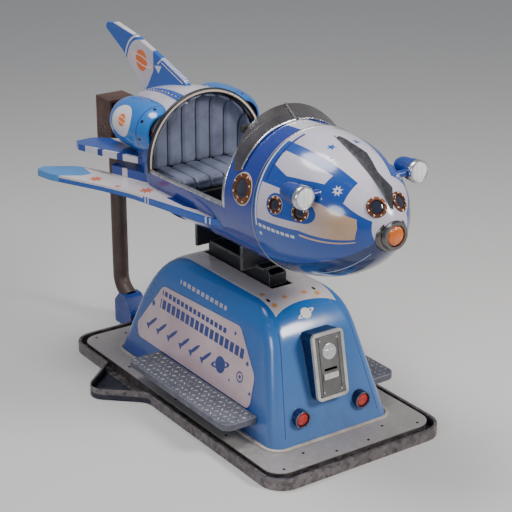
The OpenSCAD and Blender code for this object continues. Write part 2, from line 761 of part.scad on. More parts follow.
module tail_fin() color("white") difference() {
    side_plate(rounded([[fin_root, 1040, 0], [fin_root + 30, 1062, 40], [556, 1115, 0], [696, 1154, 0], [857, 1181, 10],
        [930, 1172, 18], [936, 1148, 10], [811, 1083, 60], [672, 972, 0], [668, 930, 0], [560, 960, 0]]), fin_t);
    tail_body(gap);
}

module pod_shape(r, half_l, n = 10) {
    rotate_extrude($fn = round_fn) polygon(concat([[0, -half_l]],
        [for (i = [1:2 * n - 1]) let (a = -90 + 90 * i / n)
            [r * pow(cos(a), 0.62), half_l * sign(a) * pow(abs(sin(a)), 0.72)]],
        [[0, half_l]]));
}

module engine_pods() color(blue) difference() {
    both_sides() translate(pod_at) rotate([90, 0, 0]) difference() {
        pod_shape(pod_r, pod_half_l);
        pod_shape(pod_r - pod_wall, pod_half_l - pod_wall);
        for (a = [0:45:315]) rotate([0, 0, a]) translate([52, 0, pod_half_l - 30]) cylinder(h = 40, r = 7, $fn = 24);
    }
    tail_body(gap);
    hull_axis() translate([-400, -400, -0.3]) cube([800, 800, 400]);
}

wing_points = [[150, -243, 0], [175, -243, 0], [254, -96, 500], [281, 79, 900], [315, 253, 500], [361, 382, 500],
    [451, 586, 60], [466, 668, 18], [426, 676, 12], [334, 617, 80], [300, 566, 100], [269, 474, 300],
    [236, 380, 60], [150, 300, 0]];
strake_points = [[150, 262, 0], [204, 240, 0], [270, 458, 6], [150, 520, 0]];
strake_h = 34;

module wing() difference() {
    union() {
        translate([0, 0, wing_z - wing_t / 2]) linear_extrude(wing_t) polygon(rounded(wing_points));
        translate([0, 0, wing_z]) linear_extrude(wing_t / 2 + strake_h) polygon(rounded(strake_points));
    }
    ship_body(gap);
}

module wing_left() color("royalblue") wing();
module wing_right() color("royalblue") mirror([1, 0, 0]) wing();

tailplane_points = [[120, 268, 0], [210, 268, 0], [216, 298, 30], [290, 470, 300], [326, 596, 16], [316, 634, 12],
    [245, 640, 30], [160, 560, 60], [60, 560, 0]];
tailplane_z = 815;

module tailplanes() color("royalblue") difference() {
    both_sides() translate([0, 0, tailplane_z - wing_t / 2]) linear_extrude(wing_t - 1) polygon(rounded(tailplane_points));
    tail_body(gap);
    both_sides() translate(pod_at) rotate([90, 0, 0]) pod_shape(pod_r + gap, pod_half_l + gap);
}

// ---------------------------------------------------------------- cockpit

// Trim arch from sill to sill over the top of the hull
module arch(t) {
    a0 = asin((sill + gap) / trim_out);
    rotate([0, 0, a0]) rotate_extrude(angle = 180 - 2 * a0, $fn = round_fn) polygon(rounded([
        [trim_in, 0, 3], [trim_out, 0, 5], [trim_out, t, 5], [trim_in, t, 3]]));
}

module seat_hoop() color(cream) hull_axis() translate([0, 0, 0.2]) arch(trim_t);

module cockpit_trim() color(steel) hull_axis() {
    translate([0, 0, cockpit_l - trim_t - 0.2]) arch(trim_t);
    for (x = [-1, 1]) translate([x * (hull_r_rear - 3), sill + rail_r + 0.2, trim_t + 0.4])
        rotate([0, x * 0.5, 0]) cylinder(h = cockpit_l - 2 * trim_t - 0.8, r = rail_r, $fn = 48);
}

// The visor: a cone leaning back and up from the band
module visor_body(grow, past = 0) {
    lean = visor_rise / (visor_s[1] - visor_s[0]);
    multmatrix([[1, 0, 0, 0], [0, 1, -lean, lean * visor_s[1]], [0, 0, 1, 0], [0, 0, 0, 1]])
        translate([0, 0, visor_s[0] - past]) cylinder(h = visor_s[1] - visor_s[0] + 2 * past, r1 = visor_top_r + grow,
            r2 = hull_r(visor_s[1]) + 2 + grow, $fn = round_fn);
}

module windscreen() color("dimgray") difference() {
    hull_axis() difference() {
        visor_body(0);
        visor_body(-4, 1);
        translate([-400, -400, 400]) cube([800, 400 + visor_foot, 300]);
    }
    cone_body(gap, 300, seam_s);
}

module windscreen_frame() color("silver") {
    hull_axis() for (a = [28.5, 91.5]) rotate([0, 0, a]) translate([0, 0, visor_s[1] + 5])
        rotate_extrude(angle = 60, $fn = round_fn) translate([hull_r(visor_s[1] + 5) + 4.4, 0]) circle(r = 4, $fn = 24);
    difference() {
        hull_axis() translate([-4, 0, 0]) rotate([90, 0, 90]) linear_extrude(8) polygon([[240, visor_s[1] + 9],
            [287, visor_s[0] + 2], [287, visor_s[0]], [280, visor_s[0]], [238, visor_s[1]]]);
        hull_axis() visor_body(gap, 3);
        cone_body(gap, 300, seam_s);
    }
}

module seat_back() color("lightsteelblue") difference() {
    intersection() {
        translate([0, back_face + 14, hull_z]) rotate([90, 0, 0]) cylinder(h = 78, r = 212, $fn = round_fn);
        tail_body(-hull_wall - gap);
    }
    translate([0, back_face, hull_z + 2]) rotate([90, 0, 0]) cylinder(h = 78, r = 192, $fn = round_fn);
    translate([-300, 0, seat_z - 300 + gap]) cube([600, 600, 300]);
}

module seat_cushion() color("slategray") {
    translate([-200, cushion_back - cushion_d, seat_z - cushion_t]) cube([400, cushion_d, cushion_t]);
}

module cockpit_floor() color("dimgray") {
    intersection() {
        cone_body(-hull_wall - gap, 1, seam_s - 6);
        union() {
            translate([-300, -500, well_z - 6]) cube([600, 1000, 6]);
            translate([-300, cushion_back - cushion_d + 4, well_z - 1]) cube([600, 6, pan_z - well_z]);
            translate([-300, cushion_back - cushion_d + 4, pan_z - pan_t2]) cube([600, 300, pan_t2]);
        }
    }
    intersection() {
        tail_body(-hull_wall - gap);
        union() {
            translate([-198, 200, pan_z - pan_t2]) cube([396, back_face + 24 - 200, pan_t2]);
            translate([0, back_face + 24, hull_z]) rotate([90, 0, 0]) cylinder(h = 6, r = 225, $fn = round_fn);
        }
    }
}

module dash_panel() color(steel) difference() {
    hull_axis() translate([0, 0, dash_s]) cylinder(h = 6, r = hull_r(dash_s) - hull_wall - gap, $fn = round_fn);
    hull_axis() translate([-300, -300, dash_s - 10]) cube([600, 390, 30]);
    bar_axis() cylinder(h = 300, r = 8, center = true, $fn = 48);
}

module handlebar() color("silver") {
    difference() {
        bar_axis() translate([0, 0, 0]) cylinder(h = column_l - 12, r = column_r, $fn = round_fn);
        hull_axis() translate([-300, -300, dash_s - gap]) cube([600, 600, 30]);
    }
    bar_axis() cylinder(h = column_l + 22, r = 7.9, $fn = round_fn);
    translate(bar_at) rod_x(-bar_half_w, bar_half_w, bar_r);
}

module hand_grips() color("black") both_sides() translate(bar_at) difference() {
    rod_x(bar_half_w - 72, bar_half_w + 4, grip_r);
    rod_x(bar_half_w - 80, bar_half_w, bar_r);
}

// ---------------------------------------------------------------- portholes and lamps

module port_ring(r, h) {
    rotate_extrude($fn = round_fn) polygon([[r * 0.74, -10], [r, -10], [r, h], [r - 3, h + 2], [r * 0.82, h + 2],
        [r * 0.74, h]]);
}

module port_glass(r) {
    translate([0, 0, -7]) cylinder(h = 4, r = r * 0.74 - gap, $fn = 48);
}

module porthole_rings() color("peru") both_sides() {
    on_band(big_port[0], big_port[1]) port_ring(big_port_r, 3);
    for (p = small_ports) on_nose(p[0], p[1]) port_ring(small_port_r, 2);
    on_nose(eye_port[0], eye_port[1]) port_ring(eye_r, 3);
}

module porthole_glasses() color("black") both_sides() {
    on_band(big_port[0], big_port[1]) port_glass(big_port_r);
    for (p = small_ports) on_nose(p[0], p[1]) port_glass(small_port_r);
    on_nose(eye_port[0], eye_port[1]) port_glass(eye_r);
}

module headlight_housings() color("steelblue") both_sides() difference() {
    union() {
        lamp_axis() rotate_extrude($fn = round_fn) polygon([[0, 0], [13, 3], [23, 10], [29, 22], [32, 40],
            [lamp_r - 1, 70], [lamp_r + 2, 74], [lamp_r + 2, lamp_l - 2], [lamp_r - 2, lamp_l], [lamp_r - 3, lamp_l - 8],
            [0, lamp_l - 10]]);
        translate([0, stalk_at.x, stalk_at.y]) rod_x(150, lamp_at.x, 12);
    }
    nose_body(gap);
}

module headlight_lenses() color("white") both_sides() lamp_axis() translate([0, 0, lamp_l - 8 + gap])
    rotate_extrude($fn = round_fn) polygon([[0, 0], [lamp_r - 3.4, 0], [lamp_r - 3.4, 8], [lamp_r - 10, 11], [0, 13]]);

module nose_lamp() color("silver") difference() {
    nose_lamp_axis() rotate_extrude($fn = round_fn) polygon([[24, 20], [24, 50], [31, 50], [34, 58], [44, 58],
        [47, 50], [47, 42], [54, 40], [nose_lamp_r, 32], [nose_lamp_r, -30], [24, -30]]);
    nose_body(gap);
}

module nose_lamp_lens() color("orange") nose_lamp_axis() rotate_extrude($fn = round_fn)
    polygon([[0, 50 + gap], [30.5, 50 + gap], [31, 54], [24, 60], [12, 63], [0, 64]]);

module nose_crest() color(steel) difference() {
    side_plate(rounded([[-470, 1040, 0], [-490, 1070, 10], [-583, 1065, 60], [-651, 1048, 60], [-681, 1020, 40],
        [-730, 992, 60], [-768, 975, 8], [-764, 908, 10], [-690, 900, 0]]), 22);
    nose_body(gap);
    nose_lamp_axis() cylinder(h = 90, r = nose_lamp_r + gap, $fn = round_fn, center = true);
}

// ---------------------------------------------------------------- nodes

base_pan();
deck_plate();
deck_rivets();
pedestal_trim();
pedestal_shell();
side_panels();
footsteps();
marker_housings();
marker_lenses();
coin_housing();
coin_bezel();
cash_box();
speaker_post();
post_foot();
speaker_box();
speaker_grille();
speaker_driver();
drive_frame();
pivot_bearings();
gear_motor();
control_box();
power_inlet();
crank_arm();
crank_roller();
rocker_frame();
pivot_shaft();
saddle_plate();
saddle_bolts();
hull_tub();
hull_band();
nose_shell();
seam_ring();
rear_fuselage();
tail_fin();
engine_pods();
wing_left();
wing_right();
tailplanes();
seat_hoop();
cockpit_trim();
windscreen();
windscreen_frame();
seat_back();
seat_cushion();
cockpit_floor();
dash_panel();
porthole_rings();
porthole_glasses();
headlight_housings();
headlight_lenses();
nose_lamp();
nose_lamp_lens();
nose_crest();
handlebar();
hand_grips();
coin_door();
door_fittings();
reject_button();
coin_mechanism();
cam_lock();
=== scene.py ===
import json
from math import atan, cos, pi, radians, sin, sqrt

import bmesh
import bpy
from mathutils import Matrix, Vector

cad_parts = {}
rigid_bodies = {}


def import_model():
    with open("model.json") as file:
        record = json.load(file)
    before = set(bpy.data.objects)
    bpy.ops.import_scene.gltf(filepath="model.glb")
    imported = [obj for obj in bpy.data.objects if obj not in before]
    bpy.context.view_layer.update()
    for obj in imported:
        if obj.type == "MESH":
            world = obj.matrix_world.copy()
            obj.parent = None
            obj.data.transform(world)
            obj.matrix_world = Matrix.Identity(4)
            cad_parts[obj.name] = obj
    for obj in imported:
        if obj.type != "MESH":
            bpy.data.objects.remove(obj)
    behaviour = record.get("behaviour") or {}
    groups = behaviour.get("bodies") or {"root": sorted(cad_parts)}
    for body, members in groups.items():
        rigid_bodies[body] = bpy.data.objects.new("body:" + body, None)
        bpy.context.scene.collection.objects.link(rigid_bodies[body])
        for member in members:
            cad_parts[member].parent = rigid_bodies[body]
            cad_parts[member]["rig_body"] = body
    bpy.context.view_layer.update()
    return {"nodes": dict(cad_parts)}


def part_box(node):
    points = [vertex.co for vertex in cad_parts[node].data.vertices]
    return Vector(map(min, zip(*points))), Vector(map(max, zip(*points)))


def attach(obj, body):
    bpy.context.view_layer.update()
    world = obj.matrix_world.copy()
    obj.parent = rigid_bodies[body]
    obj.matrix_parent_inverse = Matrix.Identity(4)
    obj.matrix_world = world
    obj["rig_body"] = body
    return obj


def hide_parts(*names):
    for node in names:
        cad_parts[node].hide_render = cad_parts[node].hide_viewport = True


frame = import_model()

# ---- Base pan
# A pressed pan of galvanised sheet with a rolled lip and two rounded ears.
# The zinc is mottled, and rusts at the corners and along the floor. The floors of the ears carry painted shade.


class Value:
    """A socket that can be used in sums."""

    def __init__(self, finish, socket):
        self.finish, self.socket = finish, socket

    def do(self, operation, *rest):
        return self.finish.node("Math", {"operation": operation}, self, *rest)

    def __add__(self, other): return self.do("ADD", other)
    def __sub__(self, other): return self.do("SUBTRACT", other)
    def __rsub__(self, other): return self.finish.node("Math", {"operation": "SUBTRACT"}, other, self)
    def __mul__(self, other): return self.do("MULTIPLY", other)
    def __truediv__(self, other): return self.do("DIVIDE", other)
    def __gt__(self, other): return self.do("GREATER_THAN", other)
    def __lt__(self, other): return self.do("LESS_THAN", other)
    def __and__(self, other): return self.do("MULTIPLY", other)
    def __or__(self, other): return self.do("MAXIMUM", other)
    def __abs__(self): return self.do("ABSOLUTE")
    def fold(self, half): return self.do("PINGPONG", half)
    __radd__ = __add__
    __rmul__ = __mul__


class Finish:
    """A material whose varying inputs are built up node by node."""

    def __init__(self, name, colour, roughness=0.5, metallic=0.0, **constants):
        self.material = bpy.data.materials.new(name)
        self.material.use_nodes = True
        self.tree = self.material.node_tree
        self.shader = self.tree.nodes["Principled BSDF"]
        self.shader.inputs["Base Color"].default_value = (*colour, 1.0)
        self.shader.inputs["Roughness"].default_value = roughness
        self.shader.inputs["Metallic"].default_value = metallic
        for label, amount in constants.items():
            self.shader.inputs[label.replace("_", " ").title().replace("Ior", "IOR")].default_value = amount
        self.place = self.node("TexCoord", out="Object")

    def node(self, kind, settings=None, *inputs, out=0):
        made = self.tree.nodes.new("ShaderNode" + kind)
        for key, setting in (settings or {}).items():
            setattr(made, key, setting)
        for socket, given in zip(made.inputs, inputs):
            if isinstance(given, Value):
                self.tree.links.new(given.socket, socket)
            elif given is not None:
                socket.default_value = given
        return Value(self, made.outputs[out])

    def feed(self, label, value):
        self.tree.links.new(value.socket, self.shader.inputs[label])

    def axes(self, place=Matrix()):
        """Distances in millimetres along a frame's three axes."""
        moved = self.node("VectorMath", {"operation": "SUBTRACT"}, self.place, tuple(place.translation))
        return [self.node("VectorMath", {"operation": "DOT_PRODUCT"}, moved,
                          tuple(place.col[axis].to_3d() * 1000), out="Value") for axis in range(3)]

    def noise(self, scale, detail=3.0, rough=0.5, stretch=None):
        where = self.place
        if stretch:
            where = self.node("VectorMath", {"operation": "MULTIPLY"}, where, stretch)
        return self.node("TexNoise", None, where, None, scale, detail, rough)

    def mix(self, mask, low, high):
        low, high = ((*c, 1.0) if isinstance(c, tuple) and len(c) == 3 else c for c in (low, high))
        return self.node("Mix", {"data_type": "RGBA"}, mask, *[None] * 5, low, high, out=2)

    def shade(self, mask, low, high):
        self.feed("Base Color", self.mix(mask, low, high))

    def spread(self, value, low, high, to_low=0.0, to_high=1.0):
        return self.node("MapRange", {"clamp": True}, value, low, high, to_low, to_high)

    def bump(self, height, distance, strength=1.0):
        made = self.node("Bump", None, strength, distance)
        bump = made.socket.node
        self.tree.links.new(height.socket, bump.inputs["Height"])
        self.feed("Normal", made)

    def worn_edge(self, radius):
        """One where the surface turns a corner, nought on the flat."""
        round_normal = self.node("Bevel", {"samples": 6}, radius)
        plain = self.node("NewGeometry", out="Normal")
        close = self.node("VectorMath", {"operation": "DOT_PRODUCT"}, round_normal, plain, out="Value")
        return self.spread(close, 0.985, 0.93)


def tint(red, green, blue):
    """Linear colour from the usual 0 to 255 scale."""
    return tuple(c / 3294.6 if c <= 10.31 else ((c / 255 + 0.055) / 1.055) ** 2.4 for c in (red, green, blue))


def stood(name, shape):
    """A new object made from a bmesh."""
    mesh = bpy.data.meshes.new(name)
    shape.to_mesh(mesh)
    shape.free()
    made = bpy.data.objects.new(name, mesh)
    bpy.context.scene.collection.objects.link(made)
    return made


def piece(name, shape, finish, body, replaced=(), bevel=0.0, crease=35.0, weights=None):
    """Make an object from a bmesh, and put it on its body."""
    for face in shape.faces:
        face.smooth = True
    for edge in shape.edges:
        edge.smooth = len(edge.link_faces) == 2 and edge.calc_face_angle(0.0) < radians(crease)
    if weights:
        layer = shape.edges.layers.float.new("bevel_weight_edge")
        for edge in shape.edges:
            edge[layer] = 1.0 if not edge.smooth and weights((edge.verts[0].co + edge.verts[1].co) / 2) else 0.0
    made = stood(name, shape)
    made.data.materials.append(finish.material)
    if bevel:
        rounding = made.modifiers.new("Rounded edges", "BEVEL")
        rounding.width, rounding.segments, rounding.harden_normals = bevel, 3, True
        rounding.limit_method = "WEIGHT" if weights else "ANGLE"
        rounding.angle_limit = radians(crease)
    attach(made, body)
    if replaced:
        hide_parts(*replaced)
    return made


def refined(node, finish, bevel=0.0, crease=35.0, weights=None, weld=2e-5):
    """A merged copy of a CAD node, smooth over its curves and rounded at its edges."""
    source = frame["nodes"][node]
    shape = bmesh.new()
    shape.from_mesh(source.data)
    bmesh.ops.remove_doubles(shape, verts=shape.verts, dist=weld)
    bmesh.ops.dissolve_limit(shape, angle_limit=radians(0.5), verts=shape.verts, edges=shape.edges)
    return piece("v_" + node, shape, finish, source["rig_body"], [node], bevel, crease, weights)


zinc = Finish("galvanised_steel", tint(112, 110, 110), 0.5, 0.85)
spangle = zinc.node("TexVoronoi", {"feature": "F1"}, zinc.place, None, 70.0, out="Color")
mottle = zinc.node("SeparateColor", None, spangle)
x, y, z = zinc.axes()
rust = zinc.spread(zinc.noise(16.0, 8.0, 0.65) + (abs(x) + abs(y)) * 0.00022 - z * 0.002, 0.86, 1.0)
wear_and_ear_shade = zinc.mix(zinc.noise(9.0, 5.0) * 0.5 + mottle * 0.45, tint(54, 49, 53), tint(160, 152, 152))
# Painted shade: the floor of each ear, low inside the rim, is darkened to a dark blue-grey.
ear_floor_shade = (abs(x) > 356) & (z < 20)
wear_and_ear_shade = zinc.mix(ear_floor_shade * 0.8, wear_and_ear_shade, tint(38, 44, 62))
zinc.shade(rust, wear_and_ear_shade, tint(96, 50, 28))
zinc.feed("Roughness", mottle * 0.2 + 0.36 + rust * 0.35)
zinc.feed("Metallic", 0.8 - rust * 0.7)
zinc.bump(zinc.noise(120.0, 4.0) + rust * 0.6, 0.0009)
refined("base_pan", zinc, bevel=0.0016)

# ---- Deck
# A flat steel floor plate with rounded corners, screwed down along its edge.
# It is scuffed by feet, with thin pale scratches in every direction.
deck = Finish("deck_plate", tint(166, 159, 157), 0.45, 0.35)
scuffs = deck.spread(deck.noise(26.0, 9.0, 0.7, (1.0, 5.0, 1.0)), 0.5, 0.68)
patches = deck.noise(5.0, 6.0, 0.6)
deck.shade(scuffs * 0.5, deck.mix(patches, tint(140, 133, 131), tint(186, 180, 176)), tint(206, 200, 196))
deck.feed("Roughness", scuffs * 0.18 + patches * 0.25 + 0.24)
deck.bump(deck.noise(240.0, 3.0) + scuffs * 0.5, 0.0004)
refined("deck_plate", deck, bevel=0.0006)

screw_steel = Finish("dark_screw_steel", tint(52, 46, 46), 0.4, 0.9)
screw_steel.feed("Roughness", screw_steel.noise(300.0) * 0.4 + 0.2)
screw_steel.shade(screw_steel.noise(90.0, 5.0), tint(30, 26, 26), tint(92, 78, 70))
refined("deck_rivets", screw_steel)

# ---- Rock drive
# Machine parts that stand inside the pedestal: welded frame, gear motor,
# crank, bearings and the rocker that carries the ship.


def enamel(name, colour, gloss=0.4, wear=0.5, metal_under=(0.32, 0.32, 0.34), edge=0.0025):
    """Machine paint with chipped, bright edges and a little grime."""
    made = Finish(name, colour, gloss)
    grime = made.spread(made.noise(11.0, 7.0, 0.6), 0.4, 0.75)
    dark = tuple(c * 0.45 for c in colour)
    chipped = made.worn_edge(edge) * made.spread(made.noise(60.0, 6.0, 0.7), 0.36, 0.56) * wear
    base = made.mix(grime, (*colour, 1.0), (*dark, 1.0))
    made.shade(chipped, base, metal_under)
    made.feed("Metallic", chipped * 0.8)
    made.feed("Roughness", grime * 0.22 + gloss)
    made.bump(made.noise(190.0, 3.0) - chipped * 0.8, 0.0004)
    return made


def turned_metal(name, colour, roughness=0.25):
    """Bright metal with fine lines round and along, and faint stains."""
    made = Finish(name, colour, roughness, 1.0)
    stain = made.noise(14.0, 6.0, 0.6)
    fine = made.noise(500.0, 2.0, 0.5, (1.0, 0.2, 0.2))
    made.shade(stain, tuple(c * 0.55 for c in colour), tuple(min(1.0, c * 1.15) for c in colour))
    made.feed("Roughness", stain * 0.28 + fine * 0.1 + roughness - 0.12)
    made.bump(fine, 0.00012)
    return made


machine_grey = enamel("machine_grey", tint(108, 118, 122))
satin_black = enamel("satin_black_paint", tint(30, 31, 36), 0.42, 0.9, (0.42, 0.41, 0.42), 0.004)
shaft_steel = turned_metal("ground_steel", (0.58, 0.58, 0.6))
brass = turned_metal("turned_brass", (0.72, 0.5, 0.22))
black_plastic = Finish("black_plastic", tint(26, 26, 28), 0.55)
black_plastic.feed("Roughness", black_plastic.noise(80.0) * 0.3 + 0.4)
black_plastic.shade(black_plastic.noise(9.0, 6.0), tint(18, 18, 20), tint(52, 50, 50))
black_plastic.bump(black_plastic.noise(700.0, 2.0), 0.0003)
for node, finish, bevel in [
        ("drive_frame", machine_grey, 0.002), ("pivot_bearings", machine_grey, 0.002),
        ("gear_motor", machine_grey, 0.003), ("control_box", machine_grey, 0.003),
        ("power_inlet", black_plastic, 0.001), ("crank_arm", shaft_steel, 0.001),
        ("crank_roller", brass, 0.0006), ("rocker_frame", satin_black, 0.003),
        ("pivot_shaft", shaft_steel, 0.001), ("saddle_plate", satin_black, 0.002),
        ("saddle_bolts", screw_steel, 0.0008)]:
    refined(node, finish, bevel)

# ---- Pedestal
# One glossy moulding in blue with a white top, leaning walls and soft shoulders.
# Orange stars and a white planet are painted on it, and blue rockets on its panels.


def half_planes(points, across, along):
    """Positive inside a convex outline given anticlockwise: the distance to its nearest side."""
    inside = None
    for (x0, y0), (x1, y1) in zip(points, points[1:] + points[:1]):
        length = sqrt((x1 - x0) ** 2 + (y1 - y0) ** 2)
        nx, ny = -(y1 - y0) / length, (x1 - x0) / length
        side = across * nx + (along * ny - (x0 * nx + y0 * ny))
        inside = side if inside is None else inside.do("MINIMUM", side)
    return inside


def patch(points, across, along):
    area = sum(x0 * y1 - x1 * y0 for (x0, y0), (x1, y1) in zip(points, points[1:] + points[:1]))
    return half_planes(points if area > 0 else points[::-1], across, along) > 0.0


def disc(across, along, radius, place=(0.0, 0.0), squash=1.0):
    across, along = across - place[0], (along - place[1]) * squash
    return (across * across + along * along) < radius * radius


def star(across, along, radius, place=(0.0, 0.0), points=5, inner=0.42, turn=0.0, squash=1.0):
    across, along = across - place[0], (along - place[1]) * squash
    angle = (along.do("ARCTAN2", across) + turn).fold(pi / points)
    reach = (across * across + along * along).do("SQRT")
    px, py = reach * angle.do("COSINE"), reach * angle.do("SINE")
    nx, ny = inner * radius * cos(pi / points), inner * radius * sin(pi / points)
    return ((px - radius) * ny - py * (nx - radius)) < 0.0


def stroke(across, along, start, end, half):
    """A straight painted line with round ends."""
    dx, dy = end[0] - start[0], end[1] - start[1]
    length = dx * dx + dy * dy
    part = ((across - start[0]) * dx + (along - start[1]) * dy) / length
    part = part.do("MAXIMUM", 0.0).do("MINIMUM", 1.0)
    ax, ay = across - start[0] - part * dx, along - start[1] - part * dy
    return (ax * ax + ay * ay) < half * half


def planet(across, along, radius, place, tilt=0.4, squash=1.0):
    """A ball and its ring, as masks of the two."""
    ball = disc(across, along, radius, place, squash)
    across, along = across - place[0], (along - place[1]) * squash
    u, v = across * cos(tilt) + along * sin(tilt), (along * cos(tilt) - across * sin(tilt)) * 4.2
    far = (u * u + v * v).do("SQRT")
    ring = (far > radius * 1.35) & (far < radius * 1.9)
    return ball, ring


blue_deep, blue_mid, blue_light = tint(14, 46, 122), tint(24, 82, 166), tint(58, 132, 198)
white_gel, cream, orange = tint(203, 198, 205), tint(214, 200, 184), tint(214, 92, 26)


def moulded(finish, art, gloss=0.22, grime=0.5, grime_colour=tint(70, 62, 58)):
    """Glossy moulding over its painted art: scuffs, a little dirt and a slow ripple."""
    dirt = finish.spread(finish.noise(7.0, 9.0, 0.65), 0.55, 0.85) * grime
    scuff = finish.spread(finish.noise(38.0, 8.0, 0.7, (1.0, 0.25, 1.0)), 0.62, 0.74) * 0.16
    finish.shade(scuff, finish.mix(dirt, art, grime_colour), tint(176, 176, 186))
    finish.feed("Roughness", dirt * 0.4 + scuff * 0.6 + gloss)
    finish.bump(finish.noise(9.0, 2.0) + finish.noise(420.0, 2.0) * 0.02, 0.004, 0.35)


def painted(finish, art, *coats):
    """Art under coats of paint, each a mask and a colour."""
    for mask, paint in coats:
        art = finish.mix(mask, art, paint)
    return art


shell = Finish("pedestal_moulding", blue_mid, 0.25, Coat_weight=0.35, Coat_roughness=0.12)
x, y, z = shell.axes()
side = abs(x)
top = (side < 124.0) & (z > 428) & (y > -352.0)
top = top - (top & disc(x, y, 305, (0.0, -627.0)))
# Painted shade and light: the walls are darker towards the floor and lighter towards the top, and the front
# face is painted lighter where the key light falls on it.
wall = shell.mix(shell.spread(z, 60, 470), tint(22, 62, 140), tint(30, 104, 176))
front_painted_light = shell.spread(y * -1.0, 330, 470)
wall = shell.mix(front_painted_light * 0.55, wall, tint(96, 136, 184))
art = shell.mix(top, wall, tint(206, 196, 194))
for place in [(-104, -311), (-47, -288), (32, -290), (73, -309), (-100, -236)]:
    art = shell.mix(star(x, y, 14, place, 6, 0.5, 0.3) & top, art, tint(214, 150, 88))
for place in [(-108, -281), (76, -285)]:
    art = shell.mix(disc(x, y, 5.5, place, 0.55), art, tint(16, 16, 20))
ball, ring = planet(x, z, 20, (-10, 427), 0.3, 1.45)
art = shell.mix((ball | ring) & (y < -300), art, tint(226, 222, 216))
# Painted shade: a thin dark blue line down each side of the front stands for the shade in a crease of the
# moulding.
crease = stroke(side, z, (140, 394), (192, 75), 1.3)
art = shell.mix(crease & (y < -370), art, tint(34, 60, 116))
title = (abs(z - 401.0) < 7.5) & (y > -130) & (y < 163) & (y.do("WRAP", 29.0, 0.0) > 10.0) & (side > 120)
art = shell.mix(title, art, tint(186, 176, 186))
moulded(shell, art)
refined("pedestal_shell", shell, crease=40.0, bevel=0.0)

trim = Finish("cream_bead", cream, 0.5)
trim.shade(trim.noise(24.0, 7.0, 0.6), tint(120, 104, 96), tint(222, 214, 204))
trim.feed("Roughness", trim.noise(30.0) * 0.4 + 0.35)
trim.bump(trim.noise(150.0), 0.0006)
refined("pedestal_trim", trim, bevel=0.002)

print_sheet = Finish("printed_side_sheet", cream, 0.3, Coat_weight=0.25, Coat_roughness=0.15)
x, y, z = print_sheet.axes()
fade = print_sheet.spread(print_sheet.noise(4.0, 4.0), 0.35, 0.7)
art = print_sheet.mix(fade, tint(186, 160, 166), tint(212, 190, 194))
for centre in (296, 229, 157, 77, 10, -63):
    ax, ay = y - centre, z - 208.0
    u, v = (ax * -0.755 + ay * 0.655), (ax * 0.655 + ay * 0.755)
    body = (u * u * 0.036 + v * v) < 46.0
    fins = patch([(-37, -14), (-12, 0), (-37, 14)], u, v)
    art = print_sheet.mix(body | fins, art, blue_deep)
ball, ring = planet(y, z, 29, (-150, 211), -0.33)
art = print_sheet.mix(ball | ring, art, blue_deep)
for place, radius in [((305, 276), 15), ((-206, 342), 9), ((-297, 268), 11), ((-213, 180), 6),
                      ((-335, 178), 9)]:
    art = print_sheet.mix(star(y, z, radius, place, 6, 0.5), art, blue_deep)
art = painted(print_sheet, art,
    (disc(y, z, 19, (-268, 212)) - disc(y, z, 14, (-268, 212)), blue_deep),
    (star(y, z, 11, (-268, 212)), blue_deep))
for height, ends, half, pitch in [(331, (-160, 258), 9, 27.0), (291, (-270, 262), 17, 31.0)]:
    dash = y.do("WRAP", pitch, 0.0) > 8.0
    row = (y > ends[0]) & (y < ends[1]) & (abs(z - height) < half)
    art = print_sheet.mix(row & dash, art, blue_deep)
moulded(print_sheet, art, 0.28, 0.35)
refined("side_panels", print_sheet, bevel=0.001)

# ---- Foot steps
# A folded tread on each side with rows of raised bars, worn bright on top.
step_reach, step_front, step_rear, step_z = 0.359, -0.397, 0.223, 0.124
steel_tread = Finish("tread_steel", tint(84, 84, 90), 0.4, 0.9)
x, y, z = steel_tread.axes()
raised = steel_tread.spread(z, 124.0, 125.4)
edge = steel_tread.worn_edge(0.004)
grit = steel_tread.noise(34.0, 7.0, 0.65)
bright = (raised | edge) * steel_tread.spread(grit, 0.3, 0.62)
steel_tread.shade(bright, steel_tread.mix(grit, tint(70, 72, 84), tint(134, 136, 146)), tint(206, 204, 204))
steel_tread.feed("Roughness", 0.62 - bright * 0.3)
steel_tread.feed("Metallic", bright * 0.4 + 0.5)
steel_tread.bump(steel_tread.noise(160.0, 4.0), 0.0005)
refined("footsteps", steel_tread, bevel=0.003)

bars = bmesh.new()
pitch, tread_inner = 0.0235, 0.249
for side in (-1, 1):
    for row in range(26):
        for column in range(5):
            px = tread_inner + column * pitch
            py = step_front + 0.016 + row * pitch
            corner = px > step_reach - 0.03 and py < step_front + 0.03
            if corner or py > step_rear - 0.014 or px > step_reach - 0.012:
                continue
            lean = 1 if (row + column) % 2 else -1
            made = bmesh.ops.create_cone(bars, cap_ends=True, segments=6, radius1=0.0048, radius2=0.0022,
                                         depth=0.0022)
            bmesh.ops.scale(bars, verts=made["verts"], vec=(1.9, 0.62, 1.0))
            spot = Matrix.Translation((side * px, py, step_z + 0.0009))
            bmesh.ops.transform(bars, verts=made["verts"],
                                matrix=spot @ Matrix.Rotation(side * lean * radians(45), 4, "Z"))
piece("tread_bars", bars, steel_tread, "stand")

# ---- Marker lamps
# Two short navy tubes on the pedestal's front corners, each with a red dish lens.
blue_paint = enamel("blue_gloss_paint", tint(28, 62, 140), 0.26, 0.7, (0.5, 0.5, 0.52))
navy_paint = enamel("navy_gloss_paint", tint(14, 34, 78), 0.22, 1.0, (0.62, 0.62, 0.64), 0.004)
refined("marker_housings", navy_paint, bevel=0.002)


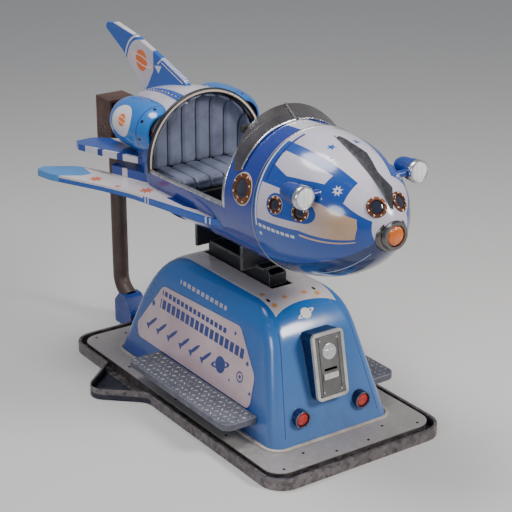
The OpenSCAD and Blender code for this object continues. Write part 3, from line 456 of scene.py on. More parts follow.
def coloured_lens(name, colour, spokes=90.0):
    """Moulded clear plastic with fine ribs."""
    made = Finish(name, colour, 0.12, Coat_weight=0.6, Subsurface_weight=0.2)
    ribs = made.node("TexWave", {"wave_type": "BANDS", "bands_direction": "X"}, made.place, spokes, 0.6, 1.0)
    cloud = made.noise(40.0, 4.0)
    made.shade(ribs * 0.35 + cloud * 0.3, (*colour, 1.0), tuple(c * 0.55 for c in colour))
    made.feed("Roughness", cloud * 0.2 + 0.08)
    made.bump(ribs, 0.0006)
    return made


refined("marker_lenses", coloured_lens("red_lens", tint(198, 46, 36)), bevel=0.0005)

# ---- Coin box
# A navy steel housing with a thick light bezel. The grey door carries a round
# medallion, a coin slot, a push bar and four screws.
door_place = Matrix.Translation((0, -0.486, 0.284)) @ Matrix.Rotation(radians(78.8), 4, "X")
refined("coin_housing", navy_paint, bevel=0.012)
bezel_paint = enamel("bezel_grey_enamel", tint(186, 183, 180), 0.42, 0.8, (0.3, 0.29, 0.3), 0.003)
refined("coin_bezel", bezel_paint, bevel=0.004)
door_steel = Finish("worn_door_plate", tint(128, 128, 132), 0.42, 0.75)
scratched = door_steel.noise(46.0, 9.0, 0.72, (1.0, 3.0, 0.4))
cloudy = door_steel.noise(13.0, 6.0)
door_steel.shade(scratched * 0.5 + cloudy * 0.5, tint(44, 44, 46), tint(158, 156, 154))
door_steel.feed("Roughness", scratched * 0.35 + 0.22)
door_steel.bump(scratched, 0.0006)
refined("coin_door", door_steel, bevel=0.0015)
chrome = turned_metal("chrome", (0.74, 0.74, 0.77), 0.2)
refined("door_fittings", chrome, bevel=0.0008)
frosted = Finish("frosted_push_bar", tint(206, 204, 198), 0.3, Subsurface_weight=0.15)
frosted.shade(frosted.noise(60.0, 5.0), tint(150, 146, 140), tint(228, 226, 220))
frosted.feed("Roughness", frosted.noise(90.0) * 0.3 + 0.2)
refined("reject_button", frosted, bevel=0.002)
refined("coin_mechanism", screw_steel, bevel=0.001)
refined("cash_box", screw_steel, bevel=0.001)
refined("cam_lock", chrome, bevel=0.001)

details = bmesh.new()
for half_w, half_h, low, high, centre in [
        (0.0395, 0.098, -0.0012, 0.0012, 0.0), (0.034, 0.0145, -0.0012, 0.0016, -0.037)]:
    made = bmesh.ops.create_cube(details, size=1.0)
    bmesh.ops.scale(details, verts=made["verts"], vec=(2 * half_w, 2 * half_h, high - low))
    bmesh.ops.translate(details, verts=made["verts"], vec=(0, centre, (high + low) / 2))
    caps = [f for f in details.faces if abs(f.normal.z) > 0.9 and all(v in made["verts"] for v in f.verts)]
    bmesh.ops.inset_region(details, faces=caps, thickness=0.004, depth=0.0)
    bmesh.ops.delete(details, geom=caps, context="FACES")
    loops = [e for e in details.edges if e.is_boundary and e.verts[0].co.z * e.verts[1].co.z > 0]
    tops, lows = ([e for e in loops if (e.verts[0].co.z > 0) == up] for up in (True, False))
    bmesh.ops.bridge_loops(details, edges=tops + lows)
bmesh.ops.recalc_face_normals(details, faces=details.faces)
bmesh.ops.transform(details, matrix=door_place, verts=details.verts)
piece("door_borders", details, door_steel, "coin_door", bevel=0.0008)


def dome(shape, place, radius, height, segments=12):
    """A round rivet head on a surface whose outward direction is the frame's z."""
    made = bmesh.ops.create_uvsphere(shape, u_segments=segments, v_segments=8, radius=1.0)
    bmesh.ops.scale(shape, verts=made["verts"], vec=(radius, radius, height))
    bmesh.ops.transform(shape, matrix=place, verts=made["verts"])


emblem = bmesh.new()
tips = []
for corner in range(10):
    reach = 0.019 if corner % 2 == 0 else 0.0085
    tips.append(emblem.verts.new((reach * sin(corner * pi / 5), 0.047 + reach * cos(corner * pi / 5), 0.0018)))
face = emblem.faces.new(tips)
raised_star = bmesh.ops.extrude_face_region(emblem, geom=[face])
bmesh.ops.translate(emblem, vec=(0, 0, 0.0022),
                    verts=[v for v in raised_star["geom"] if isinstance(v, bmesh.types.BMVert)])
bmesh.ops.recalc_face_normals(emblem, faces=emblem.faces)
bmesh.ops.transform(emblem, matrix=door_place, verts=emblem.verts)
piece("door_star", emblem, chrome, "coin_door", bevel=0.0006)

# ---- Speaker post
# A bent steel tube in brown paint on a folded blue foot. It carries a small
# brown cabinet with a framed panel on its side.
brown_paint = enamel("brown_satin_paint", tint(86, 60, 52), 0.45, 0.8, (0.34, 0.3, 0.28), 0.003)
post_finish = enamel("post_paint", tint(78, 60, 54), 0.42, 0.6, (0.4, 0.36, 0.33), 0.003)
refined("speaker_post", post_finish, bevel=0.001)
refined("post_foot", blue_paint, bevel=0.008)
refined("speaker_box", brown_paint, bevel=0.004)
refined("speaker_grille", brown_paint, bevel=0.0008)
refined("speaker_driver", black_plastic, bevel=0.0008)
box_low, box_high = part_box("speaker_box")
box_mid = (Vector(box_low) + Vector(box_high)) / 2
frame_bar = bmesh.new()
for face_y in (box_low[1], box_high[1]):
    made = bmesh.ops.create_grid(frame_bar, x_segments=1, y_segments=1, size=0.5)
    bmesh.ops.scale(frame_bar, verts=made["verts"], vec=(0.098, 0.152, 1.0))
    bmesh.ops.rotate(frame_bar, verts=made["verts"], matrix=Matrix.Rotation(pi / 2, 3, "X"))
    bmesh.ops.translate(frame_bar, verts=made["verts"], vec=(box_mid.x, face_y, box_mid.z))
sheet_faces = list(frame_bar.faces)
bmesh.ops.inset_individual(frame_bar, faces=sheet_faces, thickness=0.011)
bmesh.ops.delete(frame_bar, geom=sheet_faces, context="FACES")
bmesh.ops.solidify(frame_bar, geom=list(frame_bar.faces), thickness=0.0026)
bmesh.ops.recalc_face_normals(frame_bar, faces=frame_bar.faces)
piece("box_frames", frame_bar, brown_paint, "stand", bevel=0.0008)

# ---- Ship hull
# Moulded shells in deep blue gelcoat: a round tub, a closed band in front of
# the cockpit, and a white nose painted with bands, a star and flowers.
hull_wall, seam_s, nose_l, tail_l = 0.006, 0.645, 0.402, 0.424
hoop_point = Vector((0, 0.260, 0.814))
hull_place = Matrix.Translation(hoop_point) @ Matrix.Rotation(radians(88.5), 4, "X")
nose_place = hull_place @ Matrix.Translation((0, 0, seam_s)) @ Matrix.Rotation(radians(-2.5), 4, "X")
tail_place = Matrix.Translation(hoop_point) @ Matrix.Rotation(radians(14.8 - 90), 4, "X")
one_radian = 57.2958


def hull_r(s):
    return 0.235 + 0.006 * s / seam_s


def nose_r(s):
    return 0.2444 * max(0.0, 1 - ((s + 0.155) / 0.557) ** 3) ** 0.64


def tail_r(s):
    return 0.234 if s < 0 else 0.045 + 0.189 * (1 - (s / tail_l) ** 1.6)


def turned(profile, place, closed=False, steps=160):
    """Turn a profile of (radius, distance along) about the frame's z axis."""
    shape = bmesh.new()
    line = [shape.verts.new((radius, 0, along)) for radius, along in profile]
    ends = zip(line, line[1:] + line[:1]) if closed else zip(line, line[1:])
    edges = [shape.edges.new(pair) for pair in ends]
    bmesh.ops.spin(shape, geom=line + edges, axis=(0, 0, 1), cent=(0, 0, 0), angle=2 * pi, steps=steps,
                   use_merge=True, use_duplicate=False)
    bmesh.ops.remove_doubles(shape, verts=shape.verts, dist=1e-6)
    bmesh.ops.recalc_face_normals(shape, faces=shape.faces)
    bmesh.ops.transform(shape, matrix=place, verts=shape.verts)
    return shape


def join_to(whole, shape):
    """Move one bmesh into another."""
    carrier = bpy.data.meshes.new("carrier")
    shape.to_mesh(carrier)
    shape.free()
    whole.from_mesh(carrier)


def trimmed(shape, point, away):
    """Cut the shape at a plane, drop the side it points to, and close the wall."""
    cut = bmesh.ops.bisect_plane(shape, geom=shape.verts[:] + shape.edges[:] + shape.faces[:], plane_co=point,
                                 plane_no=away, clear_outer=True, dist=1e-6)
    rim = [e for e in cut["geom_cut"] if isinstance(e, bmesh.types.BMEdge)]
    bmesh.ops.bridge_loops(shape, edges=rim)
    bmesh.ops.recalc_face_normals(shape, faces=shape.faces)


hull_gel = Finish("hull_gelcoat", blue_deep, 0.2, Coat_weight=0.5, Coat_roughness=0.08)
x, y, z = hull_gel.axes(hull_place)
angle = y.do("ARCTAN2", abs(x)) * one_radian
art = hull_gel.mix(hull_gel.noise(3.0, 3.0), tint(14, 32, 112), tint(26, 62, 156))
halo = (z - 574.0) * (z - 574.0) + (angle - 15.0) * (angle - 15.0) * 17.0
art = painted(hull_gel, art,
    ((halo < 53.0 * 53.0) & (z > 500), tint(206, 188, 170)),
    ((angle > 79) & (z > 500), white_gel))
moulded(hull_gel, art, 0.18, 0.4)
refined("hull_tub", hull_gel, bevel=0.0015)

band_s0, band_s1 = 0.482, 0.641
band = turned([(hull_r(band_s0), band_s0), (hull_r(band_s1), band_s1), (hull_r(band_s1) - hull_wall, band_s1),
               (hull_r(band_s0) - hull_wall, band_s0)], hull_place, True)
piece("v_hull_band", band, hull_gel, "ride", ["hull_band"])
ring_metal = turned_metal("seam_metal", (0.56, 0.52, 0.5), 0.3)
refined("seam_ring", ring_metal)

nose_gel = Finish("nose_gelcoat", white_gel, 0.2, Coat_weight=0.45, Coat_roughness=0.1)
x, y, z = nose_gel.axes(nose_place)
angle = y.do("ARCTAN2", abs(x)) * one_radian
pale = nose_gel.mix(nose_gel.noise(4.0, 4.0), tint(170, 166, 188), tint(214, 208, 214))
blue_band = nose_gel.mix(nose_gel.noise(3.0, 3.0), tint(14, 52, 132), tint(26, 88, 172))
notch = ((z + angle * 5.35) > 478.0) & (angle > 18.7) & (angle < 32.6)
fore = ((z > 307) & (angle > 32.6)) | notch | ((z > 375) & (angle > -40))
art = nose_gel.mix(fore | (angle > 63.5), blue_band, pale)
art = painted(nose_gel, art,
    (angle < -40, tint(12, 42, 94)),
    # Painted highlight: a thin pale blue line low on each side of the nose stands for a bright rim of reflected
    # light.
    ((abs(angle + 59.0) < 0.7) & (z < 350), tint(150, 180, 214)))
scaled = angle * 4.0
flank = (patch([(22, 104), (19, -8), (190, -21), (200, 97)], z, scaled)
         | patch([(190, -21), (341, -69), (349, 8), (346, 66), (252, 92), (190, 98)], z, scaled))
art = painted(nose_gel, art,
    (flank, nose_gel.mix(nose_gel.spread(z, 150, 300), tint(190, 180, 192), tint(186, 152, 122))),
    (patch([(46, 218), (244, 213), (238, 168), (181, 153), (110, 143), (33, 168)], z, scaled), pale),
    (stroke(z, scaled, (99, 47), (207, 43), 37), blue_band),
    ((abs(z - 14.0) < 3.2) & (angle > -8) & (angle < 84), white_gel),
    ((abs(z - 38.5) < 4.5) & (angle > 28) & (angle < 76), blue_deep),
    (stroke(z, scaled, (192, -38), (338, -88), 3.6), tint(192, 160, 132)))
row = (abs(scaled + 25.0 + z * 0.1325) < 5.5) & (z > 24) & (z < 172)
art = nose_gel.mix(row & (z.do("WRAP", 19.0, 0.0) > 5.5), art, white_gel)
flower_across, flower_along = z * 1.25, angle * 2.9
flower_place = (349, 122)
flower = (star(flower_across, flower_along, 19, flower_place, 8, 0.5)
          - disc(flower_across, flower_along, 4, flower_place))
art = painted(nose_gel, art,
    (flower, white_gel),
    (star(z, scaled * 0.9, 17, (160, 277), 5, 0.42, 0.5), blue_mid),
    (disc(z, scaled, 3.5, (197, 268)) | disc(z, scaled, 2.5, (214, 262)), blue_deep),
    (star(z, scaled, 9, (27, -56), 8, 0.4), white_gel))
for place in [(99, 47), (194, 43)]:
    art = nose_gel.mix(disc(z, scaled, 29.5, place), art, tint(196, 178, 170))
moulded(nose_gel, art, 0.18, 0.55)
outer = [(nose_r(s), s) for s in [-0.024] + [nose_l * sin(radians(90 * i / 48)) for i in range(48)]]
inner = [(max(0.001, nose_r(s) - hull_wall - s / 40), s)
         for s in [-0.024] + [(nose_l - 0.012) * sin(radians(84 * i / 30)) for i in range(31)]]
nose = turned(outer + [(0, nose_l), (0, nose_l - 0.012)] + inner[::-1], nose_place, True, 192)
seam_point = hull_place @ Vector((0, 0, seam_s))
trimmed(nose, seam_point, -(hull_place.col[2].to_3d()))
piece("v_nose_shell", nose, nose_gel, "ride", ["nose_shell"])

# ---- Tail
# A tapering shell in white and blue with a tall fin, two engine pods, swept
# wings and tailplanes, all moulded with soft edges.
tail_gel = Finish("tail_gelcoat", white_gel, 0.2, Coat_weight=0.45, Coat_roughness=0.1)
x, y, z = tail_gel.axes(tail_place)
angle = (y * -1.0).do("ARCTAN2", abs(x)) * one_radian
art = tail_gel.mix(tail_gel.noise(4.0, 4.0), tint(178, 172, 186), tint(208, 202, 208))
art = painted(tail_gel, art,
    ((angle > 62) & (angle < 71), blue_mid),
    (abs(angle - 66.5) < 0.5, blue_deep),
    (angle < 24, tail_gel.mix(tail_gel.noise(3.0), tint(18, 38, 120), tint(34, 74, 160))),
    (abs(angle - 25.5) < 1.2, orange))
moulded(tail_gel, art, 0.2, 0.5)
steps = [-0.07] + [tail_l * i / 40 for i in range(41)]
tail = turned([(tail_r(s), s) for s in steps] + [(0, tail_l), (0, tail_l - 0.008)]
              + [(max(0.001, tail_r(s) - hull_wall), s) for s in [min(s, tail_l - 0.008) for s in steps[::-1]]],
              tail_place, True)
trimmed(tail, hoop_point, hull_place.col[2].to_3d())
piece("v_rear_fuselage", tail, tail_gel, "ride", ["rear_fuselage"])

fin_gel = Finish("fin_gelcoat", white_gel, 0.2, Coat_weight=0.45, Coat_roughness=0.1)
x, y, z = fin_gel.axes()
art = fin_gel.mix(fin_gel.noise(4.0, 4.0), tint(176, 168, 178), tint(206, 198, 204))
zone = patch([(588, 1115), (580, 1077), (592, 1024), (633, 985), (690, 900), (900, 900), (960, 1200),
              (588, 1200)], y, z)
art = fin_gel.mix(1.0 - zone, art, blue_mid)
out = (y > 640) & (z > 1020)
for radius, paint in [(103, blue_mid), (113, white_gel), (121, blue_mid)]:
    art = fin_gel.mix(out - (out & disc(y, z, radius, (676, 1045))), art, paint)
ball, ring = planet(y, z, 40, (673, 1073), 0.16)
art = painted(fin_gel, art,
    (ball, fin_gel.mix(fin_gel.noise(9.0), tint(206, 88, 30), tint(226, 118, 52))),
    (ring, tint(226, 190, 180)),
    (stroke(y, z, (518, 1112), (556, 1084), 3.0), white_gel),
    (patch([(553, 1047), (580, 1072), (530, 1080)], y, z), white_gel))
lead = stroke(y, z, (350, 1050), (528, 1110), 5.5)
art = painted(fin_gel, art,
    (lead, white_gel),
    (lead & (y.do("WRAP", 8.0, 0.0) > 4.5), blue_mid),
    (stroke(y, z, (390, 1046), (528, 1092), 2.5), white_gel),
    (stroke(y, z, (730, 1162), (870, 1180), 4.0), white_gel))
moulded(fin_gel, art, 0.2, 0.5)
refined("tail_fin", fin_gel, bevel=0.0075, weights=lambda at: at.z > 1.045 or at.y > 0.66)

pod_gel = Finish("pod_gelcoat", tint(57, 126, 192), 0.2, Coat_weight=0.5, Coat_roughness=0.08)
x, y, z = pod_gel.axes()
across, along, up = abs(x) - 167.0, y - 392.0, z - 920.0
angle = up.do("ARCTAN2", across) * one_radian
art = pod_gel.mix(pod_gel.noise(5.0, 3.0), tint(22, 78, 168), tint(40, 120, 190))
oval = disc(along, angle * 1.72, 64, (18.0, 29.0))
art = pod_gel.mix(oval, art, white_gel)
ball, ring = planet(along, angle * 1.6, 23, (11.0, 30.0), 0.12)
art = painted(pod_gel, art,
    (ball & oval, tint(214, 116, 36)),
    (ring & oval, tint(226, 190, 184)))
dots = disc(along, (angle + 11.0).do("WRAP", 22.5, -22.5) * 1.5, 6.5, (-98.0, 0.0))
art = painted(pod_gel, art,
    (dots, tint(12, 14, 26)),
    ((abs(along + 84.0) < 2.5) | (abs(along - 104.0) < 4.0), tint(24, 62, 134)))
moulded(pod_gel, art, 0.18, 0.35)
refined("engine_pods", pod_gel, bevel=0.001, crease=50.0)

wing_gel = Finish("wing_gelcoat", white_gel, 0.2, Coat_weight=0.45, Coat_roughness=0.1)
x, y, z = wing_gel.axes()
side = abs(x)
art = wing_gel.mix(wing_gel.noise(4.0, 4.0), tint(190, 182, 186), tint(222, 214, 212))
edge_line = [(141, -260), (196, -200), (236, -109), (263, 14), (303, 191), (375, 362), (449, 539), (591, 760)]
chain = None
for (x0, y0), (x1, y1) in zip(edge_line[1:7], edge_line[2:8]):
    length = sqrt((x1 - x0) ** 2 + (y1 - y0) ** 2)
    outside = (((side - x0) * (y1 - y0) - (y - y0) * (x1 - x0)) * (1 / length) > 0.0) & (y > y0) & (y < y1)
    chain = outside if chain is None else chain | outside
art = painted(wing_gel, art,
    (chain | (y < -200) | (z < 731.0), blue_mid),
    (patch([(365, 502), (327, 504), (300, 720), (520, 720), (458, 565)], side, y), blue_light))
for start, end in [((296, 162), (334, 170)), ((298, 176), (338, 184)), ((236, -128), (262, -124)),
                   ((238, -112), (264, -108)), ((455, 556), (478, 545)), ((460, 566), (480, 556))]:
    art = wing_gel.mix(stroke(side, y, start, end, 3.0), art, white_gel)
art = wing_gel.mix(patch([(246, 128), (214, 115), (199, 104), (211, -77), (243, 18)], side, y), art, blue_deep)
for place, radius in [((344, 442), 31), ((321, 327), 14), ((262, 231), 33), ((213, 200), 15)]:
    art = wing_gel.mix(star(side, y, radius, place, 8, 0.5), art, tint(204, 116, 76))
strake_top = z > 742.0
art = painted(wing_gel, art,
    (strake_top, tint(22, 62, 146)),
    (strake_top & patch([(240, 398), (292, 312), (312, 330), (262, 414)], side, y), white_gel),
    (z < 716.5, blue_deep))
moulded(wing_gel, art, 0.2, 0.5)


def clear_of_hull(at):
    """True away from the line where a plate meets the ship's skin."""
    beside = sqrt(at.x ** 2 + (at.z - 0.818) ** 2)
    return beside > 0.252 or (at.y > 0.30 and abs(at.x) > 0.175)


for node in ("wing_left", "wing_right"):
    refined(node, wing_gel, bevel=0.009, weights=clear_of_hull)

tailplane_gel = Finish("tailplane_gelcoat", blue_mid, 0.2, Coat_weight=0.45, Coat_roughness=0.1)
x, y, z = tailplane_gel.axes()
side = abs(x)
art = tailplane_gel.mix(tailplane_gel.noise(4.0), tint(18, 62, 146), tint(34, 84, 168))
inboard = patch([(100, 240), (190, 240), (196, 700), (100, 700)], side, y)
art = tailplane_gel.mix(inboard, art, tint(200, 190, 176))
lead = ((side - 216) * 172 - (y - 298) * 74) * (1 / 187.0)
check = (y.do("WRAP", 84.0, 0.0) > 60.0)
art = tailplane_gel.mix((lead > -13.0) & (y > 290), art, tailplane_gel.mix(check, white_gel, blue_deep))
moulded(tailplane_gel, art, 0.2, 0.4)
refined("tailplanes", tailplane_gel, bevel=0.008, weights=lambda at: abs(at.x) > 0.2 and at.y > 0.27)

# ---- Cockpit trim
# Rolled hoops over the seat and the band, worn chrome rails along both sills,
# and a smoked screen in a bright frame.
hoop_paint = Finish("hoop_paint", cream, 0.4)
x, y, z = hoop_paint.axes(hull_place)
far = (x * x + y * y).do("SQRT")
hoop_paint.shade((far > 229) & (far < 236), tint(20, 20, 24), tint(206, 190, 176))
hoop_paint.feed("Roughness", hoop_paint.noise(40.0) * 0.3 + 0.25)
hoop_paint.bump(hoop_paint.noise(120.0), 0.0004)
refined("seat_hoop", hoop_paint, bevel=0.001)
worn_chrome = Finish("worn_chrome", (0.6, 0.6, 0.62), 0.25, 1.0)
pits = worn_chrome.spread(worn_chrome.noise(30.0, 9.0, 0.75), 0.5, 0.7)
worn_chrome.shade(pits, (0.62, 0.62, 0.66), tint(70, 58, 54))
worn_chrome.feed("Roughness", pits * 0.4 + 0.14)
worn_chrome.bump(pits, 0.0004)
refined("cockpit_trim", worn_chrome, bevel=0.001)
smoke = Finish("smoked_screen", (0.035, 0.04, 0.055), 0.12, Alpha=0.78, Coat_weight=0.5)
smoke.feed("Roughness", smoke.noise(30.0, 5.0) * 0.2 + 0.05)
smoke.shade(smoke.noise(12.0, 5.0), tint(36, 32, 34), tint(92, 88, 90))
screen = refined("windscreen", smoke, bevel=0.0005, crease=50.0)
to_hull = hull_place.inverted()
for v in screen.data.vertices:
    at = to_hull @ v.co
    rise = max(0.0, min(1.0, (at.y - 0.10) / 0.15))
    back_by = (1 - rise ** 0.8) * 0.72
    at.z += (0.546 - at.z) * back_by
    v.co = hull_place @ at
screen.data.update()
refined("windscreen_frame", worn_chrome, bevel=0.0008)
refined("cockpit_floor", black_plastic, bevel=0.001)
refined("dash_panel", door_steel, bevel=0.001)

# ---- Seat
# Blue-grey vinyl over foam: a crowned cushion with channels from front to back,
# and a dished back with the same channels, which curls forward to the hoop.
vinyl = Finish("padded_vinyl", tint(104, 112, 135), 0.42, Coat_weight=0.1, Coat_roughness=0.3)
grain = vinyl.node("TexVoronoi", {"feature": "DISTANCE_TO_EDGE"}, vinyl.place, None, 420.0, out="Distance")
soiled = vinyl.spread(vinyl.noise(9.0, 8.0, 0.65), 0.42, 0.8)
x, y, z = vinyl.axes()
seam = abs((x + 29.5).do("WRAP", 59.0, 0.0) - 29.5)
# Painted shade: along each sewn seam the vinyl is darkened almost to black, standing for the shade in the
# pressed groove.
sewn = vinyl.spread(seam, 3.4, 1.2)
vinyl.shade(sewn, vinyl.mix(soiled, tint(128, 136, 160), tint(74, 76, 96)), tint(16, 18, 28))
vinyl.feed("Roughness", soiled * 0.2 + 0.34)
vinyl.bump(vinyl.spread(grain, 0.0, 0.12) + vinyl.noise(40.0, 3.0) * 0.8, 0.0006)


def padded_piece(name, shape, cap, seam_depth, replaced):
    """Inflate a closed form, cap its growth, then press the sewn channels in."""
    pad = stood(name, shape)
    bpy.context.view_layer.objects.active = pad
    grid = pad.modifiers.new("Voxels", "REMESH")
    grid.mode, grid.voxel_size = "VOXEL", 0.0045
    baked = bpy.data.meshes.new_from_object(pad.evaluated_get(bpy.context.evaluated_depsgraph_get()))
    pad.modifiers.clear()
    pad.data = baked
    start = [v.co.copy() for v in baked.vertices]
    cloth = pad.modifiers.new("Cloth", "CLOTH")
    cloth.settings.use_pressure = True
    cloth.settings.uniform_pressure_force = 4.0
    cloth.settings.effector_weights.gravity = 0.0
    cloth.point_cache.frame_end = 20
    for step in range(1, 21):
        bpy.context.scene.frame_set(step)
    full = bpy.data.meshes.new_from_object(pad.evaluated_get(bpy.context.evaluated_depsgraph_get()))
    pad.modifiers.clear()
    pad.data = full
    bpy.context.scene.frame_set(1)
    for v, home in zip(pad.data.vertices, start):
        move = v.co - home
        if move.length > cap:
            v.co = home + move * (cap / move.length)
    shape = bmesh.new()
    shape.from_mesh(pad.data)
    for _ in range(2):
        bmesh.ops.smooth_vert(shape, verts=shape.verts, factor=0.5, use_axis_x=True, use_axis_y=True,
                              use_axis_z=True)
    shape.normal_update()
    moves = [(v, v.normal * -seam_depth(v.co)) for v in shape.verts]
    for v, move in moves:
        v.co += move
    shape.to_mesh(pad.data)
    shape.free()
    for polygon in pad.data.polygons:
        polygon.use_smooth = True
    pad.data.materials.clear()
    pad.data.materials.append(vinyl.material)
    finer = pad.modifiers.new("Finer", "SUBSURF")
    finer.levels = finer.render_levels = 1
    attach(pad, "ride")
    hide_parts(replaced)


def groove(distance, depth, half):
    return depth * max(0.0, 1 - (distance / half) ** 2) ** 2


cushion_low, cushion_high = (Vector(corner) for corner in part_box("seat_cushion"))
cushion_mid = (cushion_low + cushion_high) / 2
cushion = bmesh.new()
bmesh.ops.create_cube(cushion, size=1.0)
bmesh.ops.scale(cushion, vec=(0.394, 0.204, 0.036), verts=cushion.verts)
uprights = [e for e in cushion.edges if abs(e.verts[0].co.z - e.verts[1].co.z) > 0.01]
bmesh.ops.bevel(cushion, geom=uprights, offset=0.035, segments=4, profile=0.5, affect="EDGES", material=-1)
bmesh.ops.translate(cushion, vec=cushion_mid + Vector((0, 0.008, 0)), verts=cushion.verts)
channels = [-0.176, -0.118, -0.059, 0.0, 0.059, 0.118, 0.176]


def cushion_seams(at):
    line = min(abs(at.x - channel) for channel in channels)
    flat = max(0.0, min(1.0, (at.z - cushion_mid.z) / 0.01))
    return groove(line, 0.008 * flat, 0.009) + groove(abs(at.z - cushion_mid.z), 0.0025, 0.006)


padded_piece("seat_cushion_pad", cushion, 0.009, cushion_seams, "seat_cushion")

back_axis_z = 0.816
back = turned([(0, 0.320), (0.150, 0.320), (0.178, 0.317), (0.196, 0.307), (0.206, 0.290), (0.211, 0.270),
               (0.2135, 0.2635), (0.2195, 0.2635), (0.2205, 0.300), (0.216, 0.330), (0.205, 0.340), (0, 0.340)],
              Matrix.Translation((0, 0, back_axis_z)) @ Matrix.Rotation(-pi / 2, 4, "X"), False, 96)
bmesh.ops.bisect_plane(back, geom=back.verts[:] + back.edges[:] + back.faces[:],
                       plane_co=(0, 0, cushion_high.z - 0.012), plane_no=(0, 0, -1), clear_outer=True)
bmesh.ops.holes_fill(back, edges=[e for e in back.edges if e.is_boundary], sides=0)
bmesh.ops.recalc_face_normals(back, faces=back.faces)


def back_seams(at):
    line = min(abs(at.x - channel) for channel in channels)
    front = max(0.0, min(1.0, (0.330 - at.y) / 0.006)) * (at.x ** 2 + (at.z - back_axis_z) ** 2 < 0.217 ** 2)
    return groove(line, 0.010 * front, 0.010)


padded_piece("seat_back_pad", back, 0.006, back_seams, "seat_back")

# ---- Handlebar
# A plain steel bar on a short column, with two ribbed rubber grips.
refined("handlebar", shaft_steel, bevel=0.001)
rubber = Finish("ribbed_rubber", tint(26, 26, 28), 0.7)
x, y, z = rubber.axes()
ribs = (x * 0.9).do("SINE")
rubber.shade(rubber.noise(60.0, 5.0), tint(18, 18, 20), tint(58, 56, 56))
rubber.feed("Roughness", rubber.noise(80.0) * 0.2 + 0.6)
rubber.bump(ribs, 0.001)
refined("hand_grips", rubber, bevel=0.002)

# ---- Portholes
# Copper rings riveted over round windows of dark glass: one large in the band,
# three small on each side of the nose. Rivets run along the tail as well.
copper = Finish("aged_copper", tint(150, 98, 74), 0.32, 0.9)
tarnish = copper.spread(copper.noise(34.0, 8.0, 0.65), 0.4, 0.7)
copper.shade(tarnish, tint(142, 90, 62), tint(56, 34, 28))
copper.feed("Roughness", tarnish * 0.35 + 0.22)
copper.feed("Metallic", 0.95 - tarnish * 0.4)
copper.bump(tarnish, 0.0004)
glass = Finish("dark_glass", tint(14, 16, 24), 0.05, Coat_weight=0.7)
glass.feed("Roughness", glass.noise(14.0, 5.0) * 0.14 + 0.02)
glass.shade(glass.noise(9.0, 3.0), tint(8, 10, 18), tint(34, 40, 62))


def nose_slope(s):
    """How steeply the nose's skin closes in, as an angle."""
    return atan((nose_r(s - 0.001) - nose_r(s + 0.001)) / 0.002)


def on_band(s, angle):
    return (hull_place @ Matrix.Translation((0, 0, s)) @ Matrix.Rotation(angle, 4, "Z")
            @ Matrix.Translation((hull_r(s), 0, 0)) @ Matrix.Rotation(pi / 2, 4, "Y"))


def on_nose(s, angle):
    return (nose_place @ Matrix.Translation((0, 0, s)) @ Matrix.Rotation(angle, 4, "Z")
            @ Matrix.Translation((nose_r(s), 0, 0)) @ Matrix.Rotation(pi / 2 - nose_slope(s), 4, "Y"))


ports = [(on_band, 0.574, 15.0, 0.044), (on_nose, 0.099, 11.7, 0.025), (on_nose, 0.194, 10.7, 0.025),
         (on_nose, 0.370, 55.0, 0.029)]
profile = [(0.70, -0.006), (0.70, 0.002), (0.76, 0.0055), (0.80, 0.0055), (0.84, 0.0035), (1.08, 0.0035),
           (1.12, 0.0015), (1.12, -0.006)]
rings, panes, rivets = bmesh.new(), bmesh.new(), bmesh.new()
for put, along, angle, radius in ports:
    for up in (radians(angle), pi - radians(angle)):
        place = put(along, up)
        bend = 0.5 / (0.238 if put is on_band else 0.24)
        ring_shape = turned([(radius * r, z) for r, z in profile], Matrix(), False, 64)
        for v in ring_shape.verts:
            v.co.z -= v.co.y ** 2 * bend
        bmesh.ops.transform(ring_shape, matrix=place, verts=ring_shape.verts)
        join_to(rings, ring_shape)
        pane = bmesh.ops.create_uvsphere(panes, u_segments=40, v_segments=14, radius=1.0)
        bmesh.ops.scale(panes, verts=pane["verts"], vec=(radius * 0.715, radius * 0.715, 0.0035))
        bmesh.ops.transform(panes, verts=pane["verts"], matrix=place)
        for turn in range(8):
            a = 2 * pi * (turn + 0.5) / 8
            py = radius * 0.97 * sin(a)
            spot = place @ Matrix.Translation((radius * 0.97 * cos(a), py, 0.0032 - py ** 2 * bend))
            dome(rivets, spot, 0.0036, 0.0034)
bmesh.ops.recalc_face_normals(rings, faces=rings.faces)
piece("porthole_flanges", rings, copper, "ride", ["porthole_rings"], crease=50.0)
piece("porthole_panes", panes, glass, "ride", ["porthole_glasses"])
for side in (-1, 1):
    for i in range(15):
        s = 0.02 + i * 0.0275
        a = radians(65.5)
        r = tail_r(s)
        spot = tail_place @ Matrix.Translation((side * r * cos(a), -r * sin(a), s))
        dome(rivets, spot @ Matrix.Rotation(pi / 2, 4, "X"), 0.003, 0.003, 8)
piece("hull_rivets", rivets, turned_metal("bright_rivets", (0.78, 0.6, 0.46), 0.22), "ride")

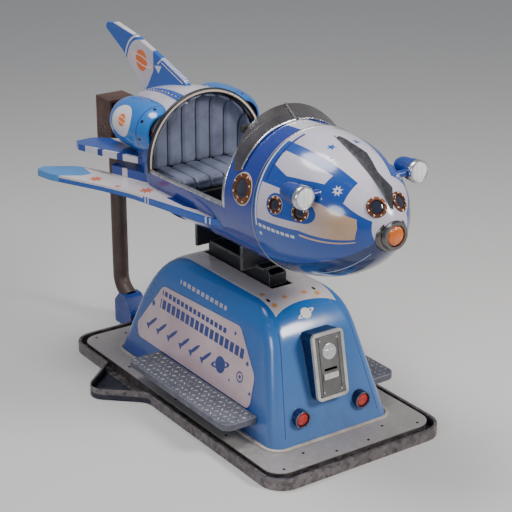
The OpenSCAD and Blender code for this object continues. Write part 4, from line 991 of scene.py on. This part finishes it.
# ---- Lamps
# Two bullet headlights on short stalks, and a stepped chrome bezel with an
# amber lens in the tip of the nose.
refined("headlight_housings", blue_paint, bevel=0.0015)
refined("headlight_lenses", coloured_lens("clear_lens", tint(240, 240, 238), 20.0), bevel=0.0008)
lamp_rims = bmesh.new()
for side in (-1, 1):
    lamp_place = Matrix.Translation((side * 0.222, -0.522, 0.947)) @ Matrix.Rotation(pi / 2, 4, "X")
    rim_shape = turned([(0.029, 0.103), (0.0300, 0.1095), (0.0335, 0.1108), (0.0372, 0.108), (0.0378, 0.098),
                        (0.0372, 0.092), (0.0345, 0.090)], lamp_place, False, 64)
    join_to(lamp_rims, rim_shape)
piece("headlight_rims", lamp_rims, chrome, "ride", crease=50.0)
dark_chrome = turned_metal("dark_chrome", (0.2, 0.19, 0.19), 0.2)
refined("nose_lamp", dark_chrome, bevel=0.0018)
refined("nose_lamp_lens", coloured_lens("amber_lens", tint(226, 112, 20)), bevel=0.0008)

# ---- Nose crest
# A cast crest of dark grey metal along the top of the nose. It is widest in the
# middle and snakes a little from side to side.
crest_metal = Finish("cast_grey", tint(66, 66, 74), 0.42, 0.7)
cast = crest_metal.noise(60.0, 8.0, 0.6)
crest_metal.shade(cast, tint(40, 40, 46), tint(120, 118, 122))
crest_metal.feed("Roughness", cast * 0.3 + 0.28)
crest_metal.bump(cast, 0.0012)
crest_rear, crest_l = -0.478, 0.290
crest_line = [(crest_rear, 1.050), (-0.500, 1.071), (-0.545, 1.070), (-0.590, 1.064), (-0.640, 1.052),
              (-0.672, 1.030), (-0.700, 1.008), (-0.735, 0.991), (-0.765, 0.976), (-0.768, 0.945)]


def crest_top(y):
    for (y0, z0), (y1, z1) in zip(crest_line, crest_line[1:]):
        if y1 <= y <= y0:
            return z0 + (z1 - z0) * (y - y0) / (y1 - y0)
    return crest_line[-1][1]


def skin_top(y):
    """Height of the nose's skin on the middle line."""
    low, high = 0.0, nose_l
    for _ in range(30):
        s = (low + high) / 2
        low, high = (s, high) if (nose_place @ Vector((0, nose_r(s), s))).y > y else (low, s)
    return (nose_place @ Vector((0, nose_r(low), low))).z


crest = bmesh.new()
bmesh.ops.create_grid(crest, x_segments=16, y_segments=64, size=1.0)
for v in crest.verts:
    across, along = v.co.x, (v.co.y + 1) / 2
    y = crest_rear - crest_l * along
    skin = skin_top(y)
    rise = max(0.002, crest_top(y) - skin)
    wave = 0.0035 * sin(along * 4.5 * pi)
    half = 0.006 + 0.024 * sin(pi * min(1.0, along * 1.02)) ** 0.8
    lift = (1 - abs(across)) ** 1.7
    v.co = Vector((across * half + wave * lift * 0.6, y, skin - 0.006 + (rise + 0.006) * lift
                   - 0.5 * (across * half) ** 2 / 0.2))
base = bmesh.ops.extrude_edge_only(crest, edges=[e for e in crest.edges if e.is_boundary])
for v in (g for g in base["geom"] if isinstance(g, bmesh.types.BMVert)):
    v.co.z -= 0.004
bmesh.ops.holes_fill(crest, edges=[e for e in crest.edges if e.is_boundary], sides=0)
bmesh.ops.recalc_face_normals(crest, faces=crest.faces)
piece("v_nose_crest", crest, crest_metal, "ride", ["nose_crest"], crease=50.0)

# ---- Floor, light and camera
# A pale studio floor, a large key light from the front right, a soft fill from
# the front left and a wide light overhead.
floor = bmesh.new()
bmesh.ops.create_grid(floor, x_segments=1, y_segments=1, size=7.0)
studio_floor = stood("studio_floor", floor)
floor_paint = Finish("studio_floor", (0.62, 0.61, 0.6), 0.8)
floor_paint.feed("Roughness", floor_paint.noise(3.0) * 0.1 + 0.75)
studio_floor.data.materials.append(floor_paint.material)

world = bpy.data.worlds.new("studio")
world.use_nodes = True
world.node_tree.nodes["Background"].inputs[0].default_value = (0.86, 0.9, 0.96, 1.0)
world.node_tree.nodes["Background"].inputs[1].default_value = 0.38
bpy.context.scene.world = world
for name, place, size, power, colour in [
        ("key", (1.9, -3.4, 3.0), 1.3, 165.0, (1.0, 0.96, 0.92)),
        ("fill", (-3.4, -2.0, 2.0), 1.2, 44.0, (0.86, 0.92, 1.0)),
        ("top", (-0.6, 0.6, 3.8), 1.6, 90.0, (1.0, 0.98, 0.96))]:
    lamp = bpy.data.lights.new(name, "AREA")
    lamp.shape, lamp.size, lamp.energy, lamp.color = "DISK", size, power, colour
    lit = bpy.data.objects.new(name, lamp)
    lit.location = place
    lit.rotation_euler = (Vector((0, 0, 0.6)) - Vector(place)).to_track_quat("-Z", "Y").to_euler()
    bpy.context.scene.collection.objects.link(lit)
camera_data = bpy.data.cameras.new("camera")
camera_data.lens, camera_data.sensor_width = 103.6, 36.0
camera = bpy.data.objects.new("camera", camera_data)
camera.location = (-2.696, -3.944, 2.384)
camera.rotation_euler = (radians(68.60), 0.0, radians(-34.73))
bpy.context.scene.collection.objects.link(camera)
bpy.context.scene.camera = camera
